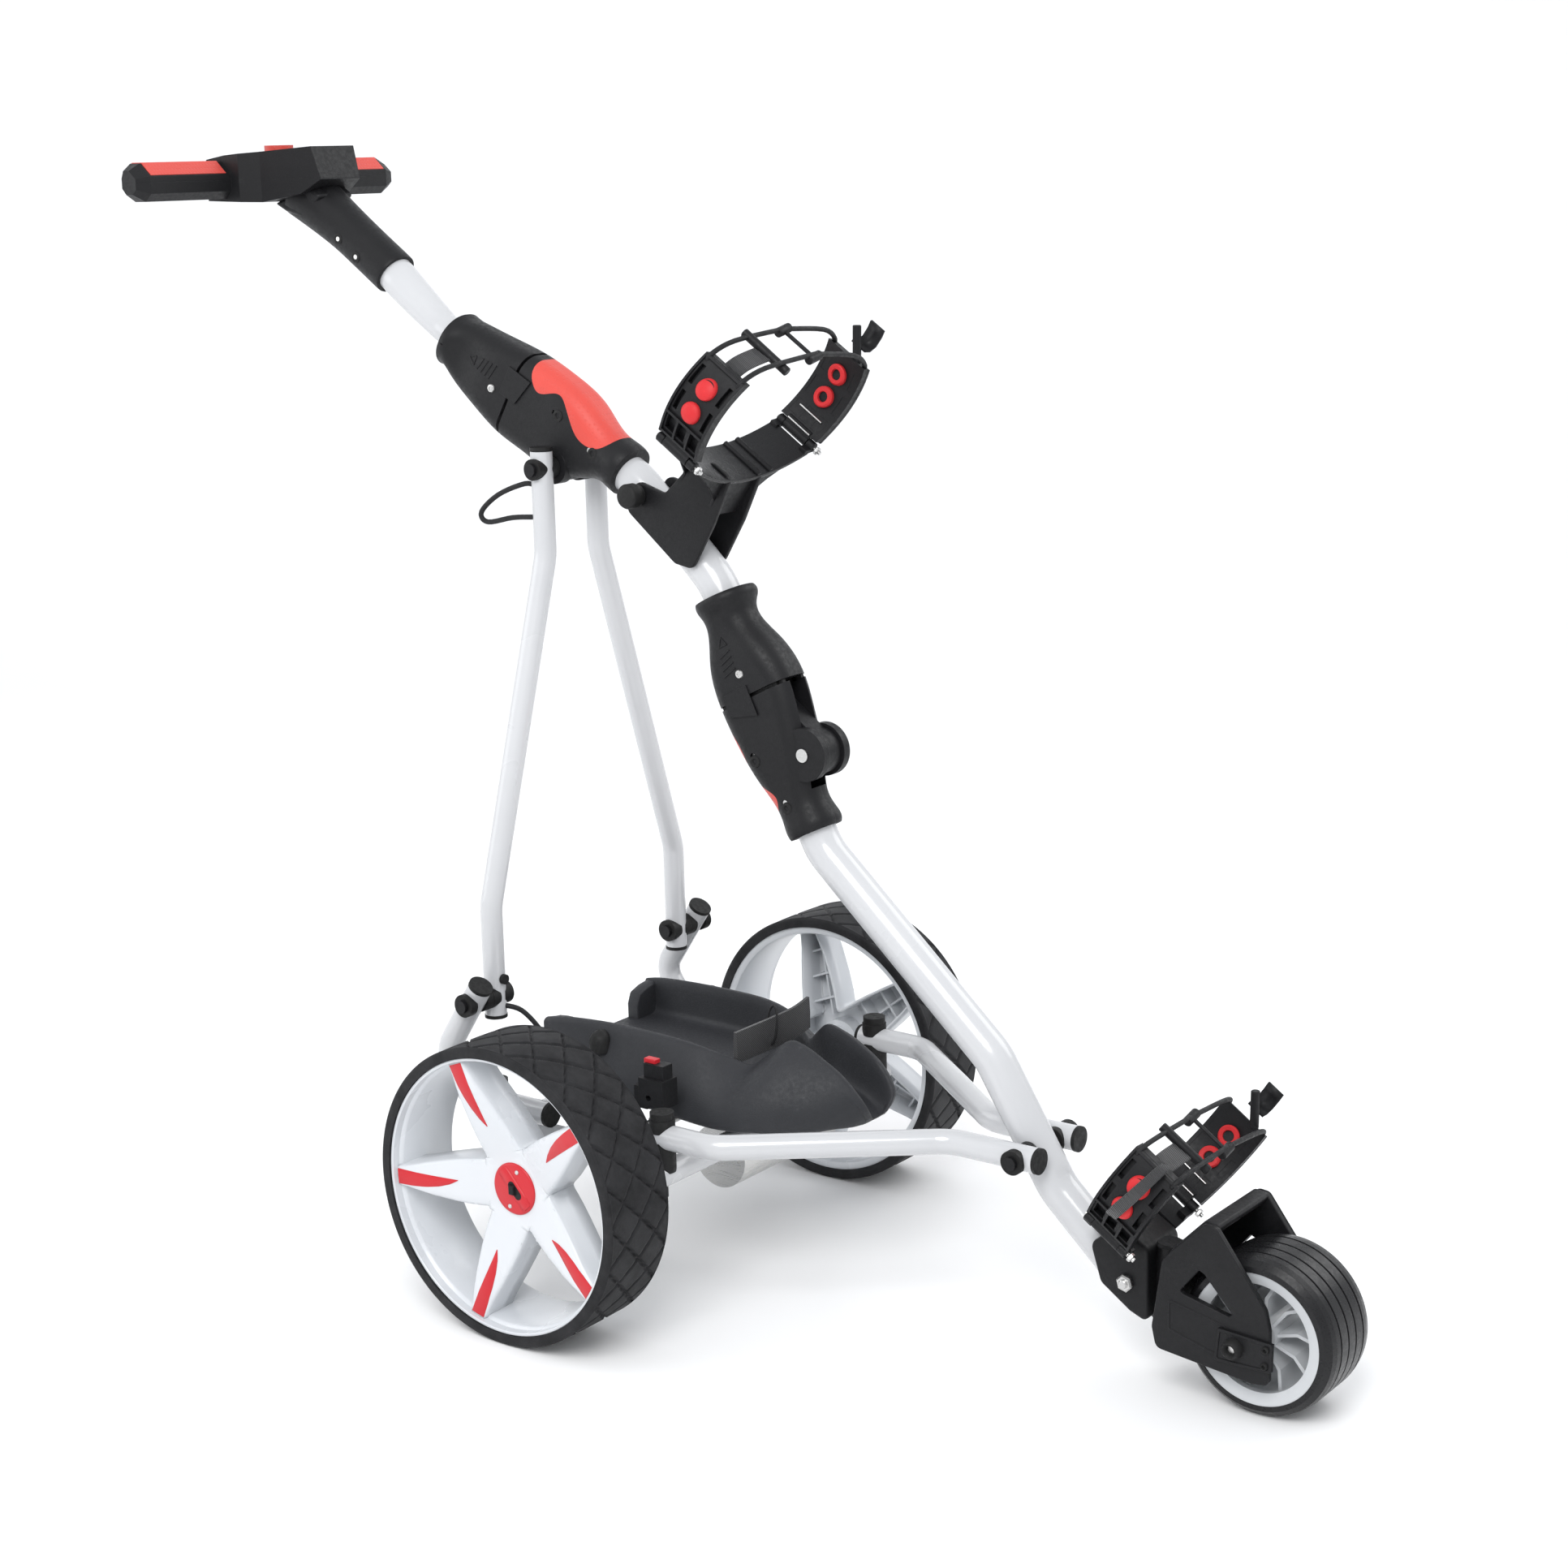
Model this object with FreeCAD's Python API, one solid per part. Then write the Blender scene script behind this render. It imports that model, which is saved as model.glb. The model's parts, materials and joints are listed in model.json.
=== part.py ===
import FreeCAD, Part
import math
import os

# Electric golf trolley: folding tube frame, two driven rear wheels and one front wheel.
# +X points forward, +Y to the left and +Z up from the ground.  Everything is drawn with X
# measured from the rear axle, and saved with X measured from the middle of the length.
# Lengths are in millimetres and angles in degrees.

# ---- driving dimensions -------------------------------------------------------------
REAR_WHEEL_RADIUS = 145.0
REAR_WHEEL_WIDTH = 82.0
REAR_WHEEL_Y = 257.5
REAR_RIM_RADIUS = 134.0
SPOKES = 5
FIRST_SPOKE_ANGLE = 39.0
FRONT_WHEEL_X = 650.0
FRONT_WHEEL_RADIUS = 73.0
FRONT_WHEEL_WIDTH = 80.0
FRONT_RIM_RADIUS = 61.0

MAIN_TUBE_RADIUS = 19.0
HANDLE_TUBE_RADIUS = 15.5
STAY_RADIUS = 11.0
RAIL_RADIUS = 12.0
TUBE_WALL = 1.8
MIDDLE_BEND = 80.0
LOWER_BEND = 60.0

# Fold pivots, given as (x, z) in the middle plane.
STAY_FOOT_PIVOT = (-134.5, 278.0)
UPPER_PIVOT = (-134.5, 787.0)
LOWER_PIVOT = (161.0, 530.5)
RAIL_PIVOT = (409.0, 187.0)

# Each folding joint has its own axes: where its collar starts and how steeply it falls.
UPPER_JOINT_START = (-274.7, 907.7)
UPPER_JOINT_SLOPE = 30.0
LOWER_JOINT_START = (55.0, 671.0)
LOWER_JOINT_SLOPE = 64.0
COLLAR_LENGTH = 99.0
COLLAR_BORE = 22.0
HOUSING_START = 102.5
PLUG_START = 45.0
TUBE_END = 92.0
SLOT_HALF = 11.5
KNUCKLE_HALF = 11.2
PIN_RADIUS = 4.0
RUNNING_GAP = 0.06

UPRIGHT_Y = 171.0
STAY_FOOT_Y = 141.0
STAY_TOP_Y = 39.5
RAIL_FRONT_Y = 34.7
RAIL_Z = 188.0
UPRIGHT_Z = 180.5
CORNER_FRONT_X = 101.0
CORNER_REAR_X = -110.0
LOWER_FRAME_Z = 150.0
LOWER_FRAME_HALF = 184.0

AXLE_RADIUS = 6.0
AXLE_PLATE_Y = (146.0, 154.0)
GEAR_MODULE = 2.0
GEAR_TEETH = 54
PINION_TEETH = 14
GEAR_WIDTH = 12.0
GEAR_Y = 122.0
MOTOR_RADIUS = 32.0
MOTOR_DROP = 26.7

CRADLE_TILT = 55.0
UPPER_CRADLE_HINGE = (100.0, 805.0)
UPPER_CRADLE_HALF = 95.0
LOWER_CRADLE_HINGE = (537.0, 134.0)
LOWER_CRADLE_HALF = 66.0
ARM_LENGTH = 92.0
ARM_WIDTH = 50.0
ARM_THICKNESS = 8.0
ARM_FOOT = 6.0
ARM_BOW = 12.0
BUTTON_RADIUS = 9.0
BUTTON_HEIGHTS = (42.0, 68.0)
HINGE_PIN_RADIUS = 2.0
CRADLE_SAG = 26.0
KNOB = (-24.0, 766.0)
# How far each arm leans away from the bag: (right, left).
UPPER_ARM_LEAN = (-8.0, 9.0)
LOWER_ARM_LEAN = (0.0, 28.0)

TRAY_FLOOR_Z = 205.0
TRAY_WALL = 4.0
# Shallow flat seat for the battery: (rear x, front x, half width, height of its floor).
TRAY_SEAT = (-96.0, 45.0, 40.0, 204.5)
TRAY_STOP = (-46.0, 87.0)
TRAY_STOP_Z = 231.0
TRAY_STOP_RADIUS = 12.0
TRAY_STOP_STEM = 4.0

GRIP_X = -547.0
GRIP_Z = 1067.0
HANDLE_HALF = 179.0
TIP_TAPER = 0.62

# Rear of the handle grip and front of the front wheel, measured forward from the rear axle.
GRIP_REAR_X = -566.0
FRONT_X = FRONT_WHEEL_X + FRONT_WHEEL_RADIUS
MIDDLE_X = (GRIP_REAR_X + FRONT_X) / 2

Vector = FreeCAD.Vector
RIGHT = -1
LEFT = 1
SIDES = (RIGHT, LEFT)


# ---- general helpers ----------------------------------------------------------------
def save(name, shape):
    """Write one sub-part to its own file, with X measured from the middle of the length."""
    shape.translate(Vector(-MIDDLE_X, 0, 0))
    shape.exportStep(os.path.join("parts", name + ".step"))


def group(shapes):
    return Part.makeCompound(list(shapes))


def rod(start, end, radius):
    """Cylinder between two points."""
    start = Vector(*start)
    axis = Vector(*end) - start
    return Part.makeCylinder(radius, axis.Length, start, axis)


def across(x, z, y_from, y_to, radius):
    """Cylinder that lies along Y, through (x, z)."""
    return rod((x, y_from, z), (x, y_to, z), radius)


def across_ring(x, z, y_from, y_to, outer, inner):
    return across(x, z, y_from, y_to, outer).cut(across(x, z, y_from, y_to, inner))


def upright_rod(x, y, z_from, z_to, radius):
    return rod((x, y, z_from), (x, y, z_to), radius)


def box(low, high):
    low = Vector(*low)
    size = Vector(*high) - low
    return Part.makeBox(size.x, size.y, size.z, low)


def slab(outline, y_from, y_to):
    """Plate with an outline of (x, z) points, spanning y_from to y_to."""
    points = [Vector(x, y_from, z) for x, z in outline]
    face = Part.Face(Part.makePolygon(points + points[:1]))
    return face.extrude(Vector(0, y_to - y_from, 0))


def turned(profile, y_centre, x, z, side):
    """Body of revolution about a Y axis through (x, z); profile is (radius, offset outward)."""
    points = [Vector(x + radius, y_centre + side * out, z) for radius, out in profile]
    face = Part.Face(Part.makePolygon(points + points[:1]))
    return face.revolve(Vector(x, y_centre, z), Vector(0, 1, 0), 360)


def rounded_path(points, bend):
    """Wire through the points, with an arc of radius bend at every inner corner."""
    points = [Vector(*p) for p in points]
    edges = []
    start = points[0]
    for before, corner, after in zip(points, points[1:], points[2:]):
        back = (before - corner).normalize()
        ahead = (after - corner).normalize()
        half_angle = back.getAngle(ahead) / 2
        reach = bend / math.tan(half_angle)
        centre = corner + (back + ahead).normalize() * (bend / math.sin(half_angle))
        middle = centre + (corner - centre).normalize() * bend
        leave = corner + ahead * reach
        edges.append(Part.makeLine(start, corner + back * reach))
        edges.append(Part.Arc(corner + back * reach, middle, leave).toShape())
        start = leave
    edges.append(Part.makeLine(start, points[-1]))
    return Part.Wire(edges)


def bent_bar(points, radius, bend):
    """Round bar swept along a path of straight runs and arcs."""
    path = rounded_path(points, bend)
    first = Vector(*points[0])
    along = (Vector(*points[1]) - first).normalize()
    section = Part.Wire(Part.makeCircle(radius, first, along))
    return path.makePipeShell([section], True, False)


def bent_tube(points, radius, bend):
    return bent_bar(points, radius, bend).cut(bent_bar(points, radius - TUBE_WALL, bend))


def flipped(shape):
    """The same piece on the other side of the middle plane."""
    return shape.mirror(Vector(0, 0, 0), Vector(0, 1, 0))


def span(side, near, far):
    """Lowest and highest Y of a stretch that runs from near to far on one side."""
    return sorted((side * near, side * far))


def for_side(shape, side):
    """A piece modelled for the left side, on the side that is wanted."""
    return shape if side == LEFT else flipped(shape)


# ---- axes of the folding joints and cradles -----------------------------------------
def sloped_axes(origin, slope):
    """Axes with X falling forward by slope, Y unchanged and Z towards the front."""
    return FreeCAD.Placement(Vector(origin[0], 0, origin[1]),
                             FreeCAD.Rotation(Vector(0, 1, 0), slope))


UPPER_AXES = sloped_axes(UPPER_JOINT_START, UPPER_JOINT_SLOPE)
LOWER_AXES = sloped_axes(LOWER_JOINT_START, LOWER_JOINT_SLOPE)
# A cradle's X runs down along the tube and its Z stands away from the tube.
UPPER_CRADLE_AXES = sloped_axes(UPPER_CRADLE_HINGE, 90 - CRADLE_TILT)
LOWER_CRADLE_AXES = sloped_axes(LOWER_CRADLE_HINGE, 90 - CRADLE_TILT)


def placed(shape, axes):
    """Move a shape from local axes to the trolley's axes."""
    moved = shape.copy()
    moved.Placement = axes.multiply(moved.Placement)
    return moved


def local(point, axes):
    inside = axes.inverse().multVec(Vector(point[0], 0, point[1]))
    return inside.x, inside.z


def world(u, n, axes):
    outside = axes.multVec(Vector(u, 0, n))
    return outside.x, outside.z


# ---- folding joints -----------------------------------------------------------------
# Sections along a joint: (distance, centre, half height, half width, corner radius).
UPPER_SECTIONS = ((0, -2, 29, 29, 27), (11, -2, 29, 29, 27), (16, -3, 31, 26, 24),
                  (56, -5, 40, 24, 21), (100, -4.5, 46.5, 24, 19), (140, -3, 47, 24, 19),
                  (185, -3, 43, 24, 19), (222, 2, 27, 23, 21), (232, 3, 25, 25, 23), (252, 2, 25, 25, 23))
LOWER_SECTIONS = ((0, 2, 29, 29, 27), (11, 2, 29, 29, 27), (16, 1, 27, 26, 24),
                  (56, 0, 37, 25, 21), (100, 1.5, 45, 25, 19), (140, 0, 41, 25, 19),
                  (180, -1, 33, 24, 19), (215, -2, 25, 23, 21),
                  (226, -1, 26, 25, 23), (242, -1, 25, 25, 23))


def rounded_section(u, centre, half_height, half_width, corner):
    """Rounded rectangle across a joint's axis."""
    flat_y = half_width - corner
    flat_z = half_height - corner
    edges = []
    previous = None
    first = None
    for quadrant in range(4):
        start = math.radians(90 * quadrant)
        sign_y = 1 if quadrant in (0, 3) else -1
        sign_z = 1 if quadrant in (0, 1) else -1
        points = []
        for step in range(3):
            angle = start + step * math.pi / 4
            points.append(Vector(u, sign_y * flat_y + corner * math.cos(angle),
                                 centre + sign_z * flat_z + corner * math.sin(angle)))
        if previous is None:
            first = points[0]
        else:
            edges.append(Part.makeLine(previous, points[0]))
        edges.append(Part.Arc(*points).toShape())
        previous = points[2]
    edges.append(Part.makeLine(previous, first))
    return Part.Wire(edges)


def joint_skin(sections):
    """Whole outside of a joint, collar and housing together, in the joint's axes."""
    return Part.makeLoft([rounded_section(*section) for section in sections], True, False)


def joint_collar(sections, bore, tongue_low, tongue_high):
    """Locking collar: a sleeve with a thin tongue that laps over each cheek of the housing."""
    sleeve = joint_skin(sections).common(box((-1, -60, -80), (COLLAR_LENGTH, 60, 80)))
    sleeve = sleeve.cut(rod((-1, 0, 0), (COLLAR_LENGTH + 1, 0, 0), bore))
    cheek = sections[4][3]
    outline = ((COLLAR_LENGTH - 9, tongue_low), (COLLAR_LENGTH + 13, tongue_low),
               (COLLAR_LENGTH + 22, tongue_high), (COLLAR_LENGTH - 9, tongue_high))
    for side in SIDES:
        lap = slab(outline, side * (cheek - 1.0), side * (cheek + 1.6))
        relief = box((COLLAR_LENGTH, -60, -80), (COLLAR_LENGTH + 30, 60, 80))
        relief = relief.common(box((0, -cheek - 0.4, -80), (200, cheek + 0.4, 80)))
        sleeve = sleeve.fuse(lap.cut(relief))
    return sleeve.removeSplitter()


def joint_core(axes, pivot, plug_radius, knuckle_radius):
    """Tongue that swings in the housing, on a plug inside its tube."""
    u, n = local(pivot, axes)
    plug = rod((PLUG_START, 0, 0), (TUBE_END + 8, 0, 0), plug_radius - 0.05)
    reach = 14.0
    tongue = slab(((TUBE_END + 2, -reach), (u, n - knuckle_radius + 0.5), (u, n + knuckle_radius - 0.5),
                   (TUBE_END + 2, reach)), -KNUCKLE_HALF, KNUCKLE_HALF)
    knuckle = across(u, n, -KNUCKLE_HALF, KNUCKLE_HALF, knuckle_radius)
    core = plug.multiFuse([tongue, knuckle])
    core = core.cut(across(u, n, -20, 20, PIN_RADIUS + RUNNING_GAP))
    return placed(core.removeSplitter(), axes)


def upper_collar():
    return placed(joint_collar(UPPER_SECTIONS, COLLAR_BORE - 2.5, -6, 24), UPPER_AXES)


def lower_collar():
    return placed(joint_collar(LOWER_SECTIONS, COLLAR_BORE, -26, 6), LOWER_AXES)


def grip_patch(outline):
    """Region of a joint that a soft red overmoulding covers, in the joint's axes."""
    curve = Part.BSplineCurve()
    curve.interpolate([Vector(u, -60, n) for u, n in outline], PeriodicFlag=True)
    return Part.Face(Part.Wire(curve.toShape())).extrude(Vector(0, 120, 0))


UPPER_GRIP = ((116, 60), (118, 30), (132, 20), (155, 32), (180, 18), (200, 6), (222, 12), (228, 60))
LOWER_GRIP = ((118, -70), (122, -40), (150, -32), (175, -34), (200, -14), (214, -24), (216, -70))
GRIP_DEPTH = 3.0


def shrunk(sections, depth):
    return [(u, c, h - depth, w - depth, r - depth) for u, c, h, w, r in sections]


def joint_housing(sections, slot_low, slot_high, axes, pivot, grip, screws, boss):
    """Hollow housing with two cheeks around the core, cut for pins, screws and grip."""
    end = sections[-1][0]
    skin = joint_skin(sections).common(box((HOUSING_START, -60, -80), (end + 1, 60, 80)))
    u, n = local(pivot, axes)
    cheek = sections[5][3]
    shell = skin.fuse(across(u, n, -cheek + boss[1], cheek - boss[1], boss[0]))
    shell = shell.cut(box((HOUSING_START - 1, -SLOT_HALF, slot_low), (204, SLOT_HALF, slot_high)))
    shell = shell.cut(rod((203, 0, 0), (end + 1, 0, 0), MAIN_TUBE_RADIUS))
    shell = shell.cut(across(u, n, -60, 60, PIN_RADIUS + RUNNING_GAP))
    shell = shell.cut(grip_patch(grip).cut(joint_skin(shrunk(sections, GRIP_DEPTH))))
    for screw_u, screw_n in screws:
        shell = shell.cut(across(screw_u, screw_n, -60, 60, SCREW_RADIUS))
    return shell


SCREW_RADIUS = 3.0
SCREW_HEAD_Y = 21.8
UPPER_SCREWS = ((160, 14), (213, 4))
LOWER_SCREWS = ((154, -19), (207, -6))


def upper_housing():
    whole = joint_housing(UPPER_SECTIONS, -90, 27, UPPER_AXES, UPPER_PIVOT, UPPER_GRIP,
                          UPPER_SCREWS, (17.0, 0.0))
    return group(placed(half_of(whole, side), UPPER_AXES) for side in SIDES)


def lower_housing():
    whole = joint_housing(LOWER_SECTIONS, -24, 90, LOWER_AXES, LOWER_PIVOT, LOWER_GRIP,
                          LOWER_SCREWS, (25.5, 4.5))
    return group(placed(half_of(whole, side), LOWER_AXES) for side in SIDES)


def half_of(whole, side):
    if side == LEFT:
        return whole.common(box((0, 0, -120), (300, 80, 120)))
    return whole.common(box((0, -80, -120), (300, 0, 120)))


def joint_grip(sections, outline, axes):
    """Soft overmoulding that lies flush in the housing."""
    skin = joint_skin(sections).cut(joint_skin(shrunk(sections, GRIP_DEPTH)))
    return placed(skin.common(grip_patch(outline)), axes)


def joint_screws(places, axes):
    """Recessed screws that hold the two halves of a housing together."""
    screws = []
    for u, n in places:
        inner = MAIN_TUBE_RADIUS + 0.3
        outer = SCREW_HEAD_Y
        screws += [across(u, n, side * inner, side * outer, SCREW_RADIUS - RUNNING_GAP) for side in SIDES]
    return group(placed(screw, axes) for screw in screws)


# ---- spine tubes and fold pins ------------------------------------------------------
def tapered_tube(stations):
    """Tube in the middle plane through (x, z, radius) stations."""
    def skin(inset):
        wires = []
        for i, (x, z, radius) in enumerate(stations):
            x0, z0, _ = stations[max(i - 1, 0)]
            x1, z1, _ = stations[min(i + 1, len(stations) - 1)]
            normal = Vector(x1 - x0, 0, z1 - z0)
            wires.append(Part.Wire(Part.makeCircle(radius - inset, Vector(x, 0, z), normal)))
        return Part.makeLoft(wires, True, True)
    return skin(0).cut(skin(TUBE_WALL))


def handle_tube():
    """Tube from the handle stem into the upper joint, swaged down near the collar."""
    stations = [(-394.6, 998.5, MAIN_TUBE_RADIUS), (-350.0, 962.5, MAIN_TUBE_RADIUS),
                (-323.0, 940.5, 17.5), (-294.0, 918.0, HANDLE_TUBE_RADIUS),
                (*world(20, 0, UPPER_AXES), HANDLE_TUBE_RADIUS),
                (*world(TUBE_END, 0, UPPER_AXES), HANDLE_TUBE_RADIUS)]
    return tapered_tube(stations)


def in_middle_plane(points):
    return [(x, 0, z) for x, z in points]


def middle_tube():
    """Bent tube between the two folding joints."""
    return bent_tube(middle_tube_points(), MAIN_TUBE_RADIUS, MIDDLE_BEND)


def middle_tube_points():
    return in_middle_plane([world(206, 0, UPPER_AXES), world(266, 0, UPPER_AXES),
                            world(-15, 0, LOWER_AXES), world(TUBE_END, 0, LOWER_AXES)])


def lower_tube():
    """Bent tube from the lower joint down to the front bracket."""
    return bent_tube(lower_tube_points(), MAIN_TUBE_RADIUS, LOWER_BEND)


def lower_tube_points():
    return in_middle_plane([world(206, 0, LOWER_AXES), world(261, 0, LOWER_AXES),
                            (358.0, 265.0), (428.0, 152.0), (487.0, 97.0)])


def upper_pivot_bolt():
    """Bolt through both stays and the upper joint."""
    x, z = UPPER_PIVOT
    head_y = STAY_TOP_Y + STAY_RADIUS + 4
    shank = across(x, z, -head_y, head_y, PIN_RADIUS)
    heads = [across(x, z, side * head_y, side * (head_y + 4), 6.5) for side in SIDES]
    return shank.multiFuse(heads)


def lower_pivot_bolt():
    x, z = LOWER_PIVOT
    heads = [across(x, z, side * 20.6, side * 22.0, 6.5) for side in SIDES]
    return across(x, z, -20.6, 20.6, PIN_RADIUS).multiFuse(heads)


# ---- stays --------------------------------------------------------------------------
def stay(side):
    """Rear stay: parallel at the top, splayed below and upright again at its foot."""
    x = STAY_FOOT_PIVOT[0]
    points = [(x, STAY_TOP_Y, 804), (x, STAY_TOP_Y, 702), (x, STAY_FOOT_Y, 368), (x, STAY_FOOT_Y, 259)]
    tube = bent_tube(points, STAY_RADIUS, 50)
    tube = tube.cut(across(UPPER_PIVOT[0], UPPER_PIVOT[1], 0, 80, PIN_RADIUS + RUNNING_GAP))
    tube = tube.cut(across(x, STAY_FOOT_PIVOT[1], 80, 200, PIN_RADIUS + RUNNING_GAP))
    return for_side(tube, side)


def stay_caps():
    """Plastic plugs in the four open ends of the stays."""
    caps = []
    x = STAY_FOOT_PIVOT[0]
    for side in SIDES:
        caps.append(upright_rod(x, side * STAY_TOP_Y, 804.05, 808, STAY_RADIUS + 0.3))
        caps.append(upright_rod(x, side * STAY_FOOT_Y, 255.5, 258.95, STAY_RADIUS + 0.3))
    return caps


def saddle(x, z, y_tube, tube_radius, side, inward, thickness, radius):
    """Washer with one face hollowed to sit on a tube that stands upright at y_tube."""
    face = y_tube + (-tube_radius if inward else tube_radius)
    tip = face - thickness if inward else face + thickness
    washer = across(x, z, side * (y_tube - 3 if inward else y_tube + 3), side * tip, radius)
    tube = upright_rod(x, side * y_tube, z - 40, z + 40, tube_radius)
    washer = washer.cut(tube)
    return washer.cut(across(x, z, -250, 250, PIN_RADIUS + RUNNING_GAP))


def stay_top_washers():
    """Saddle washers under the bolt heads and between the stays and the upper joint."""
    x, z = UPPER_PIVOT
    washers = []
    for side in SIDES:
        washers.append(saddle(x, z, STAY_TOP_Y, STAY_RADIUS, side, False, 3.9, 10.5))
        washers.append(saddle(x, z, STAY_TOP_Y, STAY_RADIUS, side, True, 3.6, 10.5))
    return washers


def stay_foot_washers():
    """Saddle washers between each stay foot and its upright, and under the inner nut."""
    x, z = STAY_FOOT_PIVOT
    washers = []
    for side in SIDES:
        washers.append(saddle(x, z, STAY_FOOT_Y, STAY_RADIUS, side, True, 3.9, 11.5))
        washers.append(saddle(x, z, STAY_FOOT_Y, STAY_RADIUS, side, False, 2.6, 11.5))
    return washers


def stay_foot_bolts():
    """Bolts on which the stays swing in the uprights."""
    x, z = STAY_FOOT_PIVOT
    bolts = []
    inner = STAY_FOOT_Y - STAY_RADIUS - 4
    outer = UPRIGHT_Y + RAIL_RADIUS + 4
    for side in SIDES:
        bolt = across(x, z, side * inner, side * outer, PIN_RADIUS)
        ends = [across(x, z, side * (inner - 4), side * inner, 6.5),
                across(x, z, side * outer, side * (outer + 4), 6.5)]
        bolts.append(bolt.multiFuse(ends))
    return bolts


def stay_grommet():
    """Rubber ring where the cable leaves the right stay."""
    x = STAY_FOOT_PIVOT[0]
    return rod((x + STAY_RADIUS + 0.05, -STAY_FOOT_Y, 296), (x + STAY_RADIUS + 4, -STAY_FOOT_Y, 296), 5)


# ---- chassis ------------------------------------------------------------------------
def rail_points():
    return [(427, RAIL_FRONT_Y, RAIL_Z), (334, RAIL_FRONT_Y, RAIL_Z), (160, 172, RAIL_Z),
            (CORNER_FRONT_X - 14, 172, RAIL_Z)]


def rail(side):
    """Front rail from the lower tube out and back to its frame corner."""
    tube = bent_tube(rail_points(), RAIL_RADIUS, 45)
    tube = tube.cut(upright_rod(CORNER_FRONT_X, 172, 160, 220, PIN_RADIUS + RUNNING_GAP))
    tube = tube.cut(across(RAIL_PIVOT[0], RAIL_PIVOT[1], 10, 60, PIN_RADIUS + RUNNING_GAP))
    return for_side(tube, side)


def upright_points():
    y = UPRIGHT_Y
    return [(-126, y, 294), (-176, y, 220), (-148, y, UPRIGHT_Z), (-42, y, UPRIGHT_Z)]


def upright(side):
    """Rear upright: leans forward to the stay pivot and curves into the frame below."""
    tube = bent_tube(upright_points(), RAIL_RADIUS, 24)
    tube = tube.cut(upright_rod(CORNER_REAR_X, UPRIGHT_Y, 150, 220, PIN_RADIUS + RUNNING_GAP))
    x, z = STAY_FOOT_PIVOT
    tube = tube.cut(across(x, z, 150, 200, PIN_RADIUS + RUNNING_GAP))
    return for_side(tube, side)


def lower_frame():
    """Welded frame under the tray: two cross tubes joined by the axle plates."""
    parts = []
    for x in (CORNER_FRONT_X, CORNER_REAR_X):
        parts.append(across(x, LOWER_FRAME_Z, -LOWER_FRAME_HALF, LOWER_FRAME_HALF, RAIL_RADIUS))
    plate = ((CORNER_REAR_X, 140), (-20, 132), (0, 129), (20, 132), (CORNER_FRONT_X, 140),
             (CORNER_FRONT_X, 160), (CORNER_REAR_X, 160))
    for side in SIDES:
        parts.append(slab(plate, side * AXLE_PLATE_Y[0], side * AXLE_PLATE_Y[1]))
    frame = parts[0].multiFuse(parts[1:])
    for x in (CORNER_FRONT_X, CORNER_REAR_X):
        frame = frame.cut(across(x, LOWER_FRAME_Z, -190, 190, RAIL_RADIUS - 2.5))
    for x, y in CORNERS:
        for side in SIDES:
            frame = frame.cut(upright_rod(x, side * y, 120, 200, PIN_RADIUS + RUNNING_GAP))
    frame = frame.cut(across(0, REAR_WHEEL_RADIUS, -160, 160, BEARING_RADIUS))
    return frame.removeSplitter()


BEARING_RADIUS = 11.0
CORNERS = ((CORNER_FRONT_X, 172.0), (CORNER_REAR_X, UPRIGHT_Y))


def corner_bushes():
    """Rubber bushes that carry the rails and uprights on the lower frame."""
    bushes = []
    lower = across(0, LOWER_FRAME_Z, -200, 200, RAIL_RADIUS)
    for x, y in CORNERS:
        for side in SIDES:
            bush = upright_rod(x, side * y, LOWER_FRAME_Z + 4, 184, 12.4)
            tube_z = RAIL_Z if x > 0 else UPRIGHT_Z
            bush = bush.cut(lower.translated(Vector(x, 0, 0)))
            bar = rod((x - 40, side * y, tube_z), (x + 40, side * y, tube_z), RAIL_RADIUS + 0.1)
            bush = bush.cut(bar)
            bush = bush.cut(upright_rod(x, side * y, 100, 220, PIN_RADIUS + RUNNING_GAP))
            bushes.append(largest_solid(bush))
    return bushes


def largest_solid(shape):
    return max(shape.Solids, key=lambda solid: solid.Volume)


def corner_bolts():
    """Upright bolts that clamp the four frame corners."""
    bolts = []
    for x, y in CORNERS:
        for side in SIDES:
            bolts.append(upright_rod(x, side * y, 128, 203, PIN_RADIUS))
    return bolts


def corner_caps():
    """Domed plastic caps over the corner bolts."""
    caps = []
    for x, y in CORNERS:
        base = RAIL_Z if x > 0 else UPRIGHT_Z
        for side in SIDES:
            cap = upright_rod(x, side * y, base + 5, base + 17, 12.4)
            cap = cap.fuse(upright_rod(x, side * y, base + 17, base + 24, 11.4))
            cap = cap.cut(rod((x - 40, side * y, base), (x + 40, side * y, base), RAIL_RADIUS + 0.1))
            caps.append(largest_solid(cap.cut(upright_rod(x, side * y, 100, 203.5, PIN_RADIUS + 0.3))))
    return caps


def chassis_end_caps():
    """Plugs in the open ends of the rails and uprights."""
    caps = []
    for side in SIDES:
        y = side * RAIL_FRONT_Y
        caps.append(rod((427.05, y, RAIL_Z), (430.5, y, RAIL_Z), RAIL_RADIUS + 0.3))
        lean = Vector(50, 0, 74).normalize()
        start = Vector(-126, side * UPRIGHT_Y, 294) + lean * 0.05
        caps.append(Part.makeCylinder(RAIL_RADIUS + 0.3, 3.5, start, lean))
        y = side * UPRIGHT_Y
        caps.append(rod((-41.95, y, UPRIGHT_Z), (-38, y, UPRIGHT_Z), RAIL_RADIUS + 0.3))
        end_x = CORNER_FRONT_X - 14
        y = side * CORNERS[0][1]
        caps.append(rod((end_x - 3.5, y, RAIL_Z), (end_x - 0.05, y, RAIL_Z), RAIL_RADIUS))
    return caps


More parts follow.
